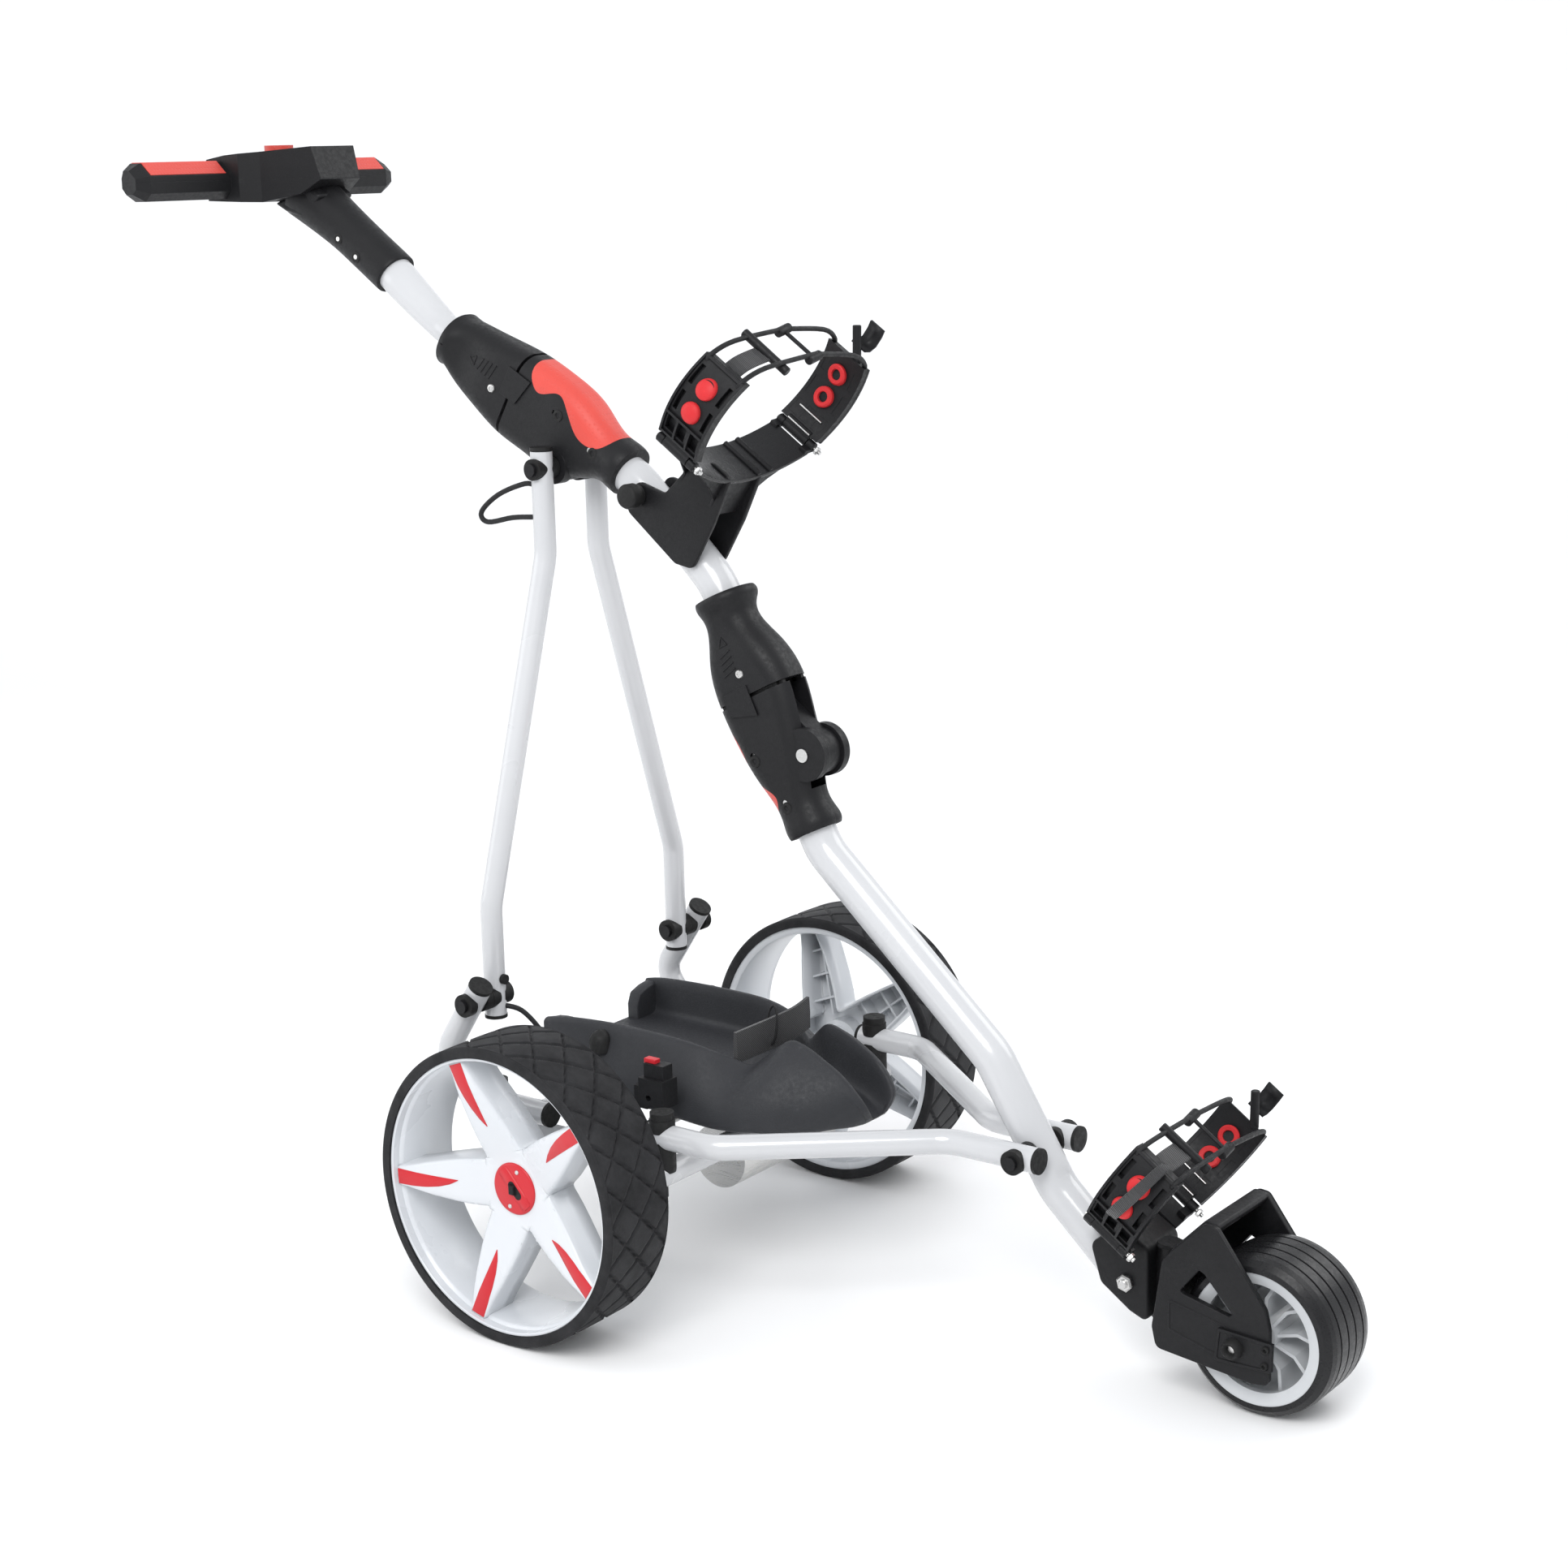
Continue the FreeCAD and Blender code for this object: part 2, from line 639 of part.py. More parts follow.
def rail_washers():
    """Saddle washers on both sides of each rail's front end."""
    x, z = RAIL_PIVOT
    washers = []
    for side in SIDES:
        y = side * RAIL_FRONT_Y
        bar = rod((x - 40, y, RAIL_Z), (x + 40, y, RAIL_Z), RAIL_RADIUS)
        for y_from, y_to in ((20.2, 27), (43, RAIL_FRONT_Y + RAIL_RADIUS + 4)):
            washer = across(x, z, side * y_from, side * y_to, 11.5).cut(bar)
            washers.append(largest_solid(washer.cut(across(x, z, -80, 80, PIN_RADIUS + RUNNING_GAP))))
    return washers


def rail_pivot_bolts():
    """Stub bolts at the rails' front ends, one each side of the lower tube."""
    x, z = RAIL_PIVOT
    bolts = []
    for side in SIDES:
        head = RAIL_FRONT_Y + RAIL_RADIUS + 4
        bolt = across(x, z, side * 20.2, side * head, PIN_RADIUS)
        bolts.append(bolt.fuse(across(x, z, side * head, side * (head + 4), 6.5)))
    return bolts


def upright_washers():
    """Saddle washers between the uprights and the bolt heads."""
    x, z = STAY_FOOT_PIVOT
    bar = bent_bar(upright_points(), RAIL_RADIUS, 24)
    washers = []
    for side in SIDES:
        for y_from, y_to in ((155.0, 164), (178, UPRIGHT_Y + RAIL_RADIUS + 4)):
            washer = across(x, z, y_from, y_to, 11.5).cut(bar)
            washer = washer.cut(across(x, z, -250, 250, PIN_RADIUS + RUNNING_GAP))
            washers.append(for_side(largest_solid(washer), side))
    return washers


# ---- battery tray -------------------------------------------------------------------
# Tray sections along X: (x, half width and height of the bottom, half width and height of the rim).
TRAY_SHELL = ((-122, 60, 184, 56, 236), (-100, 86, 174, 78, 242), (-50, 98, 169, 84, 245),
              (0, 107, 168, 82, 248), (50, 108, 168, 74, 247), (80, 105, 168, 64, 240),
              (112, 102, 169, 47, 224), (128, 99, 170, 38, 234), (145, 91, 171, 30, 251),
              (170, 76, 173, 28, 243), (200, 50, 174, 27, 219), (216, 38, 174, 24, 202),
              (226, 30, 176, 22, 196))
# The space inside: (x, half width and height of the floor, half width at the rim).
TRAY_SPACE = ((-117, 50, 205, 51), (-96, 70, 205, 73), (-50, 78, 205, 79), (0, 76, 205, 77),
              (50, 68, 205, 69), (80, 58, 204, 59), (112, 42, 201, 42), (128, 33, 198, 33),
              (145, 25, 195, 25.5), (170, 23, 190, 23.5), (200, 20, 185, 22), (216, 14, 181, 18),
              (240, 10, 180, 16))
TRAY_TOP_Z = 290.0


def lofted(sections):
    """Straight-sided skin through closed outlines given as (x, [(y, z), ...])."""
    wires = []
    for x, outline in sections:
        points = [Vector(x, y, z) for y, z in outline]
        wires.append(Part.makePolygon(points + points[:1]))
    return Part.makeLoft(wires, True, True)


def shell_outline(bottom_half, bottom_z, rim_half, rim_z):
    """Section whose flanks bulge outward between the bottom and the rim."""
    flank_y = rim_half + 0.62 * (bottom_half - rim_half)
    flank_z = rim_z - 0.30 * (rim_z - bottom_z)
    right = [(-rim_half, rim_z), (-flank_y, flank_z), (-bottom_half, bottom_z + 10),
             (-bottom_half + 9, bottom_z)]
    return right + [(-y, z) for y, z in reversed(right)]


def space_outline(floor_half, floor_z, rim_half):
    right = [(-rim_half, TRAY_TOP_Z), (-floor_half, floor_z)]
    return right + [(-y, z) for y, z in reversed(right)]


def battery_tray():
    """Moulded scoop with raised side walls, dips for the strap and an open channel at the front."""
    shell = lofted([(x, shell_outline(*rest)) for x, *rest in TRAY_SHELL])
    space = lofted([(x, space_outline(*rest)) for x, *rest in TRAY_SPACE])
    hollow = lofted([(x, space_outline(bottom - 12, 150, bottom - 12))
                     for x, bottom, *rest in TRAY_SHELL[1:8]])
    underside = hollow.common(box((-150, -150, 150), (150, 150, TRAY_FLOOR_Z - TRAY_WALL)))
    x, y = TRAY_STOP
    tray = shell.cut(space).cut(underside)
    tray = tray.cut(box((-130, -42, TRAY_FLOOR_Z), (-110, 42, TRAY_TOP_Z)))
    seat_rear, seat_front, seat_half, seat_z = TRAY_SEAT
    tray = tray.cut(box((seat_rear, -seat_half, seat_z), (seat_front, seat_half, TRAY_TOP_Z)))
    for side in SIDES:
        boss = upright_rod(x, side * y, TRAY_FLOOR_Z - TRAY_WALL, TRAY_STOP_Z, TRAY_STOP_RADIUS)
        tray = tray.fuse(boss)
        tray = tray.cut(upright_rod(x, side * y, TRAY_STOP_Z, TRAY_TOP_Z, TRAY_STOP_RADIUS))
        tray = tray.cut(upright_rod(x, side * y, 190, TRAY_TOP_Z, TRAY_STOP_STEM + 0.1))
    return largest_solid(tray)


def tray_stops():
    """Domed rubber stops that push into bosses on the tray's shoulders."""
    stops = []
    x = TRAY_STOP[0]
    base = TRAY_STOP_Z + 0.1
    radius = TRAY_STOP_RADIUS - 0.5
    for y in (-TRAY_STOP[1], TRAY_STOP[1]):
        dome = Part.makeSphere(radius, Vector(x, y, base))
        dome = dome.common(box((x - 20, y - 20, base), (x + 20, y + 20, base + 20)))
        stops.append(dome.fuse(upright_rod(x, y, 208, base + 1, TRAY_STOP_STEM)))
    return stops


def tray_strap():
    """Slack battery strap that lies across the tray between the dips in its walls."""
    upper = [Vector(78, y, z) for y, z in ((-40, 217), (-22, 209), (0, 207), (22, 209), (40, 217))]
    lower = [point + Vector(0, 0, 2.4) for point in upper]
    edges = []
    for points in (upper, lower):
        curve = Part.BSplineCurve()
        curve.interpolate(points)
        edges.append(curve.toShape())
    edges += [Part.makeLine(upper[0], lower[0]), Part.makeLine(upper[-1], lower[-1])]
    face = Part.Face(Part.Wire(Part.__sortEdges__(edges)))
    return face.extrude(Vector(34, 0, 0))


def connector_bracket():
    """Plastic block beside the tray that carries the battery plug."""
    block = box((46, -140, 198), (76, -118, 226))
    foot = box((30, -128, 190), (46, -118, 212))
    return block.fuse(foot).cut(across(58, 207, -150, -110, 3)).removeSplitter()


def battery_plug():
    """Two coupled halves of the battery plug."""
    return [box((x, -136, 226.05), (x + 11.8, -122, 240)) for x in (50.1, 62.1)]


def battery_connector():
    """Plug bracket beside the tray and the two coupled halves of its plug."""
    return group([connector_bracket()] + battery_plug())


# ---- drive --------------------------------------------------------------------------
def gear_blank_outline(teeth, phase):
    """Tooth outline of a spur gear: straight-flanked teeth with a little backlash."""
    pitch = GEAR_MODULE * teeth / 2
    root = pitch - 1.25 * GEAR_MODULE
    tip = pitch + 0.9 * GEAR_MODULE
    tooth = 2 * math.pi / teeth
    outline = []
    for index in range(teeth):
        middle = phase + index * tooth
        for radius, share in ((root, -0.34), (pitch, -0.225), (tip, -0.09),
                              (tip, 0.09), (pitch, 0.225), (root, 0.34)):
            angle = middle + share * tooth
            outline.append((radius * math.cos(angle), radius * math.sin(angle)))
    return outline


def spur_gear(teeth, phase, x, z, bore):
    outline = [(x + px, z + pz) for px, pz in gear_blank_outline(teeth, phase)]
    gear = slab(outline, GEAR_Y, GEAR_Y + GEAR_WIDTH)
    return gear.cut(across(x, z, GEAR_Y - 1, GEAR_Y + GEAR_WIDTH + 1, bore))


def motor_axis():
    """Where the pinion runs: one gear centre distance ahead of the axle, a little lower."""
    centres = GEAR_MODULE * (GEAR_TEETH + PINION_TEETH) / 2
    return math.sqrt(centres ** 2 - MOTOR_DROP ** 2), REAR_WHEEL_RADIUS - MOTOR_DROP


def line_of_centres():
    """Angle of the line from the axle to the pinion."""
    x, z = motor_axis()
    return math.atan2(z - REAR_WHEEL_RADIUS, x)


def drive_gear():
    return spur_gear(GEAR_TEETH, line_of_centres(), 0, REAR_WHEEL_RADIUS, AXLE_RADIUS)


def motor_pinion():
    gap_phase = line_of_centres() + math.pi + math.pi / PINION_TEETH
    x, z = motor_axis()
    return spur_gear(PINION_TEETH, gap_phase, x, z, ROTOR_SHAFT)


ROTOR_SHAFT = 4.0
MOTOR_INNER_Y = 114.9
MOTOR_REAR_Y = -38.0
GEARBOX_WALL = 2.5


def motor_rotor():
    """Rotor and its long shaft."""
    x, z = motor_axis()
    shaft = across(x, z, MOTOR_REAR_Y + 4, GEAR_Y + GEAR_WIDTH, ROTOR_SHAFT)
    return shaft.fuse(across(x, z, MOTOR_REAR_Y + 14, MOTOR_INNER_Y - 14, 24))


def motor_case():
    """Motor can, with its end plate and screws as separate solids."""
    x, z = motor_axis()
    can = across_ring(x, z, MOTOR_REAR_Y, MOTOR_INNER_Y, MOTOR_RADIUS, MOTOR_RADIUS - 2)
    bore = ROTOR_SHAFT + RUNNING_GAP
    inner_end = across_ring(x, z, MOTOR_INNER_Y - 4, MOTOR_INNER_Y, MOTOR_RADIUS - 1, bore)
    plate = across(x, z, MOTOR_REAR_Y - 3, MOTOR_REAR_Y - 0.02, MOTOR_RADIUS)
    screws = [across(x + reach, z, MOTOR_REAR_Y - 5, MOTOR_REAR_Y - 3.02, 3) for reach in (-22, 22)]
    return group([can.fuse(inner_end).removeSplitter(), plate] + screws)


def gearbox_skin(grow, y_from, y_to):
    """Outline of the gearbox around both gears, grown by a wall."""
    x, z = motor_axis()
    large = GEAR_MODULE * GEAR_TEETH / 2 + 3.5 + grow
    small = GEAR_MODULE * PINION_TEETH / 2 + 3.0 + grow
    along = math.degrees(line_of_centres())
    bridge = box((0, y_from, -small), (math.hypot(x, z - REAR_WHEEL_RADIUS), y_to, small))
    bridge.rotate(Vector(0, 0, 0), Vector(0, 1, 0), -along)
    bridge.translate(Vector(0, 0, REAR_WHEEL_RADIUS))
    drum = across(0, REAR_WHEEL_RADIUS, y_from, y_to, large)
    return drum.multiFuse([across(x, z, y_from, y_to, small), bridge])


def gearbox():
    """Two shells around the gear pair, with a boss that reaches the axle plate."""
    x, z = motor_axis()
    low = GEAR_Y - 4
    high = GEAR_Y + GEAR_WIDTH + 4
    split = GEAR_Y + GEAR_WIDTH / 2
    case = gearbox_skin(GEARBOX_WALL, low - 3, high + 3).cut(gearbox_skin(0, low, high))
    case = case.fuse(across(0, REAR_WHEEL_RADIUS, high, AXLE_PLATE_Y[0], 16))
    case = case.cut(across(0, REAR_WHEEL_RADIUS, low - 10, 160, AXLE_RADIUS + RUNNING_GAP))
    case = case.cut(across(x, z, low - 10, GEAR_Y, ROTOR_SHAFT + RUNNING_GAP))
    return group([case.common(box((-200, 0, 0), (200, split, 300))),
                  case.common(box((-200, split, 0), (200, 200, 300)))])


def axle_shaft():
    y = REAR_WHEEL_Y + 4
    return across(0, REAR_WHEEL_RADIUS, -y, y, AXLE_RADIUS)


def axle_bearings():
    rings = []
    for side in SIDES:
        low, high = (side * y for y in AXLE_PLATE_Y)
        bore = AXLE_RADIUS + RUNNING_GAP
        rings.append(across_ring(0, REAR_WHEEL_RADIUS, low, high, BEARING_RADIUS, bore))
    return group(rings)


# ---- rear wheels --------------------------------------------------------------------
def rear_tyre(side):
    half = REAR_WHEEL_WIDTH / 2
    r = REAR_WHEEL_RADIUS
    profile = ((REAR_RIM_RADIUS + 0.05, -half + 1), (r - 5, -half), (r - 1.5, -half + 3), (r, -half + 10),
               (r, half - 10), (r - 1.5, half - 3), (r - 5, half), (REAR_RIM_RADIUS + 0.05, half - 1))
    return turned(profile, side * REAR_WHEEL_Y, 0, r, side)


def polar(radius, angle):
    """Point of the rear wheel's plane, relative to the trolley."""
    return radius * math.cos(angle), REAR_WHEEL_RADIUS + radius * math.sin(angle)


def spoke_window(index):
    """Rounded triangular opening between two spokes."""
    middle = math.radians(FIRST_SPOKE_ANGLE + (index + 0.5) * 360 / SPOKES)
    points = [polar(48, middle)]
    for radius, swing in ((90, 17), (122, 25), (125, 12), (125, -12), (122, -25), (90, -17)):
        points.append(polar(radius, middle + math.radians(swing)))
    return points


def rear_rim(side):
    """Five-spoke wheel centre with a deep outer barrel."""
    half = REAR_WHEEL_WIDTH / 2
    y = side * REAR_WHEEL_Y
    barrel = turned(((REAR_RIM_RADIUS, -half + 2), (REAR_RIM_RADIUS, half - 2),
                     (REAR_RIM_RADIUS - 4, half - 2),
                     (127, half - 12), (127, -half + 2)), y, 0, REAR_WHEEL_RADIUS, side)
    face = turned(((24, -26), (30, -26), (32, 2), (128, 13), (128, 24), (34, 12), (24, 12)),
                  y, 0, REAR_WHEEL_RADIUS, side)
    for index in range(SPOKES):
        face = face.cut(slab(spoke_window(index), min(y - 60, y + 60), max(y - 60, y + 60)))
    hub = turned(((AXLE_RADIUS + RUNNING_GAP, -26), (25, -26), (25, 8), (AXLE_RADIUS + RUNNING_GAP, 8)),
                 y, 0, REAR_WHEEL_RADIUS, side)
    return barrel.multiFuse([face, hub]).removeSplitter()


def wheel_trim(side):
    """Coloured hub cap and the claw-shaped inserts on the spokes."""
    y = side * REAR_WHEEL_Y
    pieces = []
    for index in range(SPOKES):
        middle = math.radians(FIRST_SPOKE_ANGLE + index * 360 / SPOKES)
        claw = [polar(62, middle - 0.02), polar(95, middle - 0.1), polar(124, middle - 0.13),
                polar(124, middle + 0.03), polar(95, middle + 0.05)]
        blade = slab(claw, min(y, y + side * 40), max(y, y + side * 40))
        section = ((50, 14.35), (126, 23.8), (126, 25.2), (50, 15.75))
        sheet = turned(section, y, 0, REAR_WHEEL_RADIUS, side)
        pieces.append(blade.common(sheet))
    return group(pieces + [hub_cap(side)])


HUB_CAP_RADIUS = 25.0


def hub_cap(side):
    y = side * REAR_WHEEL_Y
    cap = across(0, REAR_WHEEL_RADIUS, y + side * 12.1, y + side * 15, HUB_CAP_RADIUS)
    low, high = sorted((y, y + side * 30))
    slot = box((-4, low, REAR_WHEEL_RADIUS - 6), (4, high, REAR_WHEEL_RADIUS + 13))
    return cap.cut(slot)


def wheel_latch(side):
    """Sliding latch that frees the wheel from its axle."""
    y = side * REAR_WHEEL_Y
    z = REAR_WHEEL_RADIUS
    low, high = sorted((y + side * 12.3, y + side * 17))
    return box((-3.6, low, z - 5), (3.6, high, z + 5))


# ---- front wheel and fork -----------------------------------------------------------
def front_tyre():
    half = FRONT_WHEEL_WIDTH / 2
    r = FRONT_WHEEL_RADIUS
    profile = [(FRONT_RIM_RADIUS + 0.05, -half), (r - 7, -half + 1)]
    profile += [(r - 2, -half + 6), (r - 0.6, -half + 12)]
    for groove in (-21, -7, 7, 21):
        profile += [(r, groove - 1.2), (r - 2, groove - 0.8), (r - 2, groove + 0.8), (r, groove + 1.2)]
    profile += [(r - 0.6, half - 12), (r - 2, half - 6)]
    profile += [(r - 7, half - 1), (FRONT_RIM_RADIUS + 0.05, half)]
    return turned(profile, 0, FRONT_WHEEL_X, r, LEFT)


def front_rim():
    """Small wheel centre with thin curved spokes."""
    half = FRONT_WHEEL_WIDTH / 2
    x = FRONT_WHEEL_X
    z = FRONT_WHEEL_RADIUS
    ring_part = turned(((FRONT_RIM_RADIUS, -half + 1), (FRONT_RIM_RADIUS, half - 1), (50, half - 4),
                        (50, half - 10), (54, half - 14), (54, -half + 14), (50, -half + 10), (50, -half + 4)),
                       0, x, z, LEFT)
    hub = across(x, z, -30, 30, 15)
    blades = []
    for index in range(10):
        angle = index * math.pi / 5
        outline = []
        for radius, lead in ((13, 0.0), (34, 0.16), (54.5, 0.0), (54.5, 0.07), (34, 0.25), (13, 0.2)):
            outline.append((x + radius * math.cos(angle + lead), z + radius * math.sin(angle + lead)))
        blades.append(slab(outline, -26, 26))
    wheel = ring_part.multiFuse([hub] + blades)
    return wheel.cut(across(x, z, -60, 60, AXLE_RADIUS + RUNNING_GAP)).removeSplitter()


FORK_STEM = ((541, 0, 52), (545, 0, 126))
FORK_STEM_RADIUS = 14.0
FORK_INNER = 44.0
FORK_OUTER = 50.0
FORK_SIDE = ((560, 48), (556, 66), (566, 130), (574, 140), (606, 172), (616, 171), (664, 106), (668, 88),
             (668, 40), (654, 38))
FORK_WINDOW = ((579, 104), (601, 131), (607, 128), (636, 96), (631, 92))


def fork():
    """Moulded fork: two cheeks joined by a crown and a rear web."""
    side_plates = []
    for side in SIDES:
        plate = slab(FORK_SIDE, *span(side, FORK_INNER, FORK_OUTER))
        side_plates.append(plate.cut(slab(FORK_WINDOW, -60, 60)))
    crown = slab(((566, 130), (574, 140), (606, 172), (616, 171), (611, 164), (604, 164),
                  (578, 137), (571, 127)),
                 -FORK_INNER, FORK_INNER)
    web = slab(((556, 66), (566, 130), (571, 128), (561, 66)), -FORK_INNER, FORK_INNER)
    stem = rod(FORK_STEM[0], FORK_STEM[1], FORK_STEM_RADIUS)
    neck = slab(((543, 60), (560, 60), (568, 122), (546, 122)), -FORK_STEM_RADIUS + 3, FORK_STEM_RADIUS - 3)
    fork_body = side_plates[0].multiFuse([side_plates[1], crown, web, stem, neck])
    fork_body = fork_body.cut(across(FRONT_WHEEL_X, FRONT_WHEEL_RADIUS, -60, 60, AXLE_RADIUS + 0.05))
    return fork_body.removeSplitter()


def front_axle():
    return across(FRONT_WHEEL_X, FRONT_WHEEL_RADIUS, -FORK_OUTER, FORK_OUTER, AXLE_RADIUS)


def tracking_plates():
    """Adjuster plates that set the front wheel's line."""
    plates = []
    for side in SIDES:
        outline = ((622, 82), (674, 79), (673, 53), (619, 52))
        plate = slab(outline, *span(side, FORK_OUTER + 0.05, FORK_OUTER + 4))
        plates.append(plate)
    return group(plates)


def tracking_screws():
    return [across(637, 67, side * (FORK_OUTER + 4.05), side * (FORK_OUTER + 7), 6) for side in SIDES]


def front_bracket():
    """Clamp block on the lower tube's end that carries fork stem and lower cradle."""
    outline = ((482, 118), (492, 86), (520, 66), (534, 60), (534, 124), (512, 136))
    block = slab(outline, -28, 28)
    block = block.cut(bent_bar(lower_tube_points(), MAIN_TUBE_RADIUS + 0.03, LOWER_BEND))
    block = block.cut(rod(FORK_STEM[0], FORK_STEM[1], FORK_STEM_RADIUS + 0.05))
    return largest_solid(block.cut(across(516, 90, -40, 40, PIN_RADIUS + RUNNING_GAP)))


def bracket_bolt():
    bolt = across(516, 90, -31, 31, PIN_RADIUS)
    ends = [across(516, 90, side * 28.1, side * 33, 6.5) for side in SIDES]
    return bolt.multiFuse(ends)


# ---- bag cradles --------------------------------------------------------------------
def trough(half):
    """Curved bag support between its two hinges, in cradle axes."""
    def arc_points(drop):
        end = half - 11
        return [Vector(0, -end, -4 - drop), Vector(0, 0, -CRADLE_SAG - drop), Vector(0, end, -4 - drop)]
    top = Part.Arc(*arc_points(0)).toShape()
    bottom = Part.Arc(*arc_points(4)).toShape()
    ends = [Part.makeLine(arc_points(0)[i], arc_points(4)[i]) for i in (0, 2)]
    face = Part.Face(Part.Wire(Part.__sortEdges__([top, bottom] + ends)))
    sheet = face.extrude(Vector(-ARM_WIDTH, 0, 0))
    knuckles = []
    for side in SIDES:
        y = side * (half - 4)
        for u_from, u_to in ((-ARM_WIDTH, -ARM_WIDTH + 9), (-9, 0)):
            knuckles.append(rod((u_from, y, -1), (u_to, y, -1), 5))
            knuckles.append(box((u_from, min(y, y - side * 16), -8), (u_to, max(y, y - side * 16), -3)))
    body = sheet.multiFuse(knuckles)
    for side in SIDES:
        y = side * (half - 4)
        body = body.cut(rod((-ARM_WIDTH - 1, y, -1), (1, y, -1), HINGE_PIN_RADIUS + RUNNING_GAP))
    return body.removeSplitter()


def hinge_pins(half, axes):
    pins = [rod((-ARM_WIDTH - 1.5, side * (half - 4), -1), (1.5, side * (half - 4), -1), HINGE_PIN_RADIUS)
            for side in SIDES]
    return [placed(pin, axes) for pin in pins]


def arm_bow(height):
    """How far an arm stands out from its chord at a height along it."""
    half = (ARM_LENGTH - ARM_FOOT) / 2
    share = (height - ARM_FOOT - half) / half
    return ARM_BOW * (1 - share * share)


def arm_plate():
    """Plate that bows away from the bag between its hinge and its tip, for the left side."""
    edges = []
    middle = (ARM_FOOT + ARM_LENGTH) / 2
    ends = []
    for offset in (-ARM_THICKNESS / 2, ARM_THICKNESS / 2):
        foot = Vector(0, offset, ARM_FOOT)
        tip = Vector(0, offset, ARM_LENGTH)
        edges.append(Part.Arc(foot, Vector(0, offset + ARM_BOW, middle), tip).toShape())
        ends.append((foot, tip))
    edges += [Part.makeLine(inner, outer) for inner, outer in zip(*ends)]
    face = Part.Face(Part.Wire(Part.__sortEdges__(edges)))
    return face.extrude(Vector(-ARM_WIDTH, 0, 0))


def arm_windows():
    """Openings of the lattice: three below the buttons and two beside each button."""
    windows = []
    for u in (-ARM_WIDTH + 4, -ARM_WIDTH + 18, -ARM_WIDTH + 34):
        windows.append(box((u, -20, 12), (u + 11, 30, 26)))
    for u in (-ARM_WIDTH + 4, -9):
        for z in (34, 62):
            windows.append(box((u, -20, z), (u + 5, 30, z + 20)))
    return windows


def cradle_arm(half, axes, side, lean):
    """Hinged lattice arm and the two soft buttons pressed into it."""
    middle = -ARM_WIDTH / 2
    plate = arm_plate().cut(arm_windows())
    buttons = []
    for z in BUTTON_HEIGHTS:
        bow = arm_bow(z)
        plate = plate.cut(rod((middle, -20, z), (middle, 30, z), BUTTON_RADIUS))
        reach = ARM_THICKNESS / 2 + 2
        buttons.append(rod((middle, bow - reach, z), (middle, bow + reach, z), BUTTON_RADIUS - 0.05))
    knuckle = rod((-ARM_WIDTH + 9.3, 0, -1), (-9.3, 0, -1), 5)
    link = box((-ARM_WIDTH + 9.3, -ARM_THICKNESS / 2, -1), (-9.3, ARM_THICKNESS / 2, ARM_FOOT + 4))
    arm = plate.multiFuse([knuckle, link])
    arm = arm.cut(rod((-ARM_WIDTH, 0, -1), (0, 0, -1), HINGE_PIN_RADIUS + RUNNING_GAP)).removeSplitter()
    pieces = [arm] + buttons
    for piece in pieces:
        piece.rotate(Vector(0, 0, -1), Vector(1, 0, 0), -lean)
        piece.translate(Vector(0, half - 4, 0))
    return group(placed(for_side(piece, side), axes) for piece in pieces)


def upper_cradle_base():
    """Trough and clamp that hold the bag's upper end on the middle tube."""
    half = UPPER_CRADLE_HALF
    body = placed(trough(half), UPPER_CRADLE_AXES)
    cheek = ((30, 693), (14, 716), (-40, 752), (-28, 776), (10, 770), (44, 794), (84, 786),
             (60, 752), (36, 712))
    cheeks = []
    for side in SIDES:
        cheeks.append(slab(cheek, *span(side, 20, 25)))
    bridge = slab(((30, 778), (78, 794), (84, 786), (60, 752), (52, 756), (56, 770)), -25, 25)
    whole = body.multiFuse(cheeks + [bridge])
    whole = whole.cut(bent_bar(middle_tube_points(), MAIN_TUBE_RADIUS + 0.05, MIDDLE_BEND))
    return whole.cut(across(KNOB[0], KNOB[1], -60, 60, PIN_RADIUS + RUNNING_GAP)).removeSplitter()


def cradle_knob():
    """Clamp knob of the upper cradle."""
    head = across(KNOB[0], KNOB[1], -25.3, -46, 12)
    return head.fuse(across(KNOB[0], KNOB[1], -19.2, -26, PIN_RADIUS))


def lower_cradle_base():
    """Trough and neck that hold the bag's foot above the front bracket."""
    half = LOWER_CRADLE_HALF
    body = placed(trough(half), LOWER_CRADLE_AXES)
    neck_side = ((492, 137), (512, 136.1), (534, 124.1), (539, 112), (541, 118), (524, 128), (506, 144))
    neck = slab(neck_side, -20, 20)
    whole = body.fuse(neck)
    whole = whole.cut(rod(FORK_STEM[0], FORK_STEM[1], FORK_STEM_RADIUS + 0.1))
    bracket_room = ((482, 118), (492, 86), (520, 66), (534.05, 60), (534.05, 124.05), (512, 136.05))
    whole = whole.cut(slab(bracket_room, -40, 40))
    return largest_solid(whole.removeSplitter())


# ---- handle -------------------------------------------------------------------------
def handle_stem():
    """Flared stem that bolts to the handle tube and carries the console."""
    stations = [((-474, 1048), 30), ((-448, 1031), 25), ((-420, 1012.5), 22), ((-359.6, 970), 21.5)]
    slope = Vector(0.78, 0, -0.63)
    wires = [Part.Wire(Part.makeCircle(radius, Vector(x, 0, z), slope)) for (x, z), radius in stations]
    stem = Part.makeLoft(wires, True, True)
    stem = stem.cut(box((-600, -60, 1043.5), (-300, 60, 1100)))
    return stem.cut(rod((-394.6, 0, 998.5), (-350.0, 0, 962.5), MAIN_TUBE_RADIUS + 0.05))


GRIP_SECTION = ((-565, 1074), (-560, 1086), (-546, 1086), (-531, 1073), (-531, 1056), (-540, 1048),
                (-556, 1048),
                (-565, 1058))


def handle_lower():
    """Lower half of the bar and console."""
    return handle_body().common(box((-700, -250, 1000), (-300, 250, GRIP_Z)))


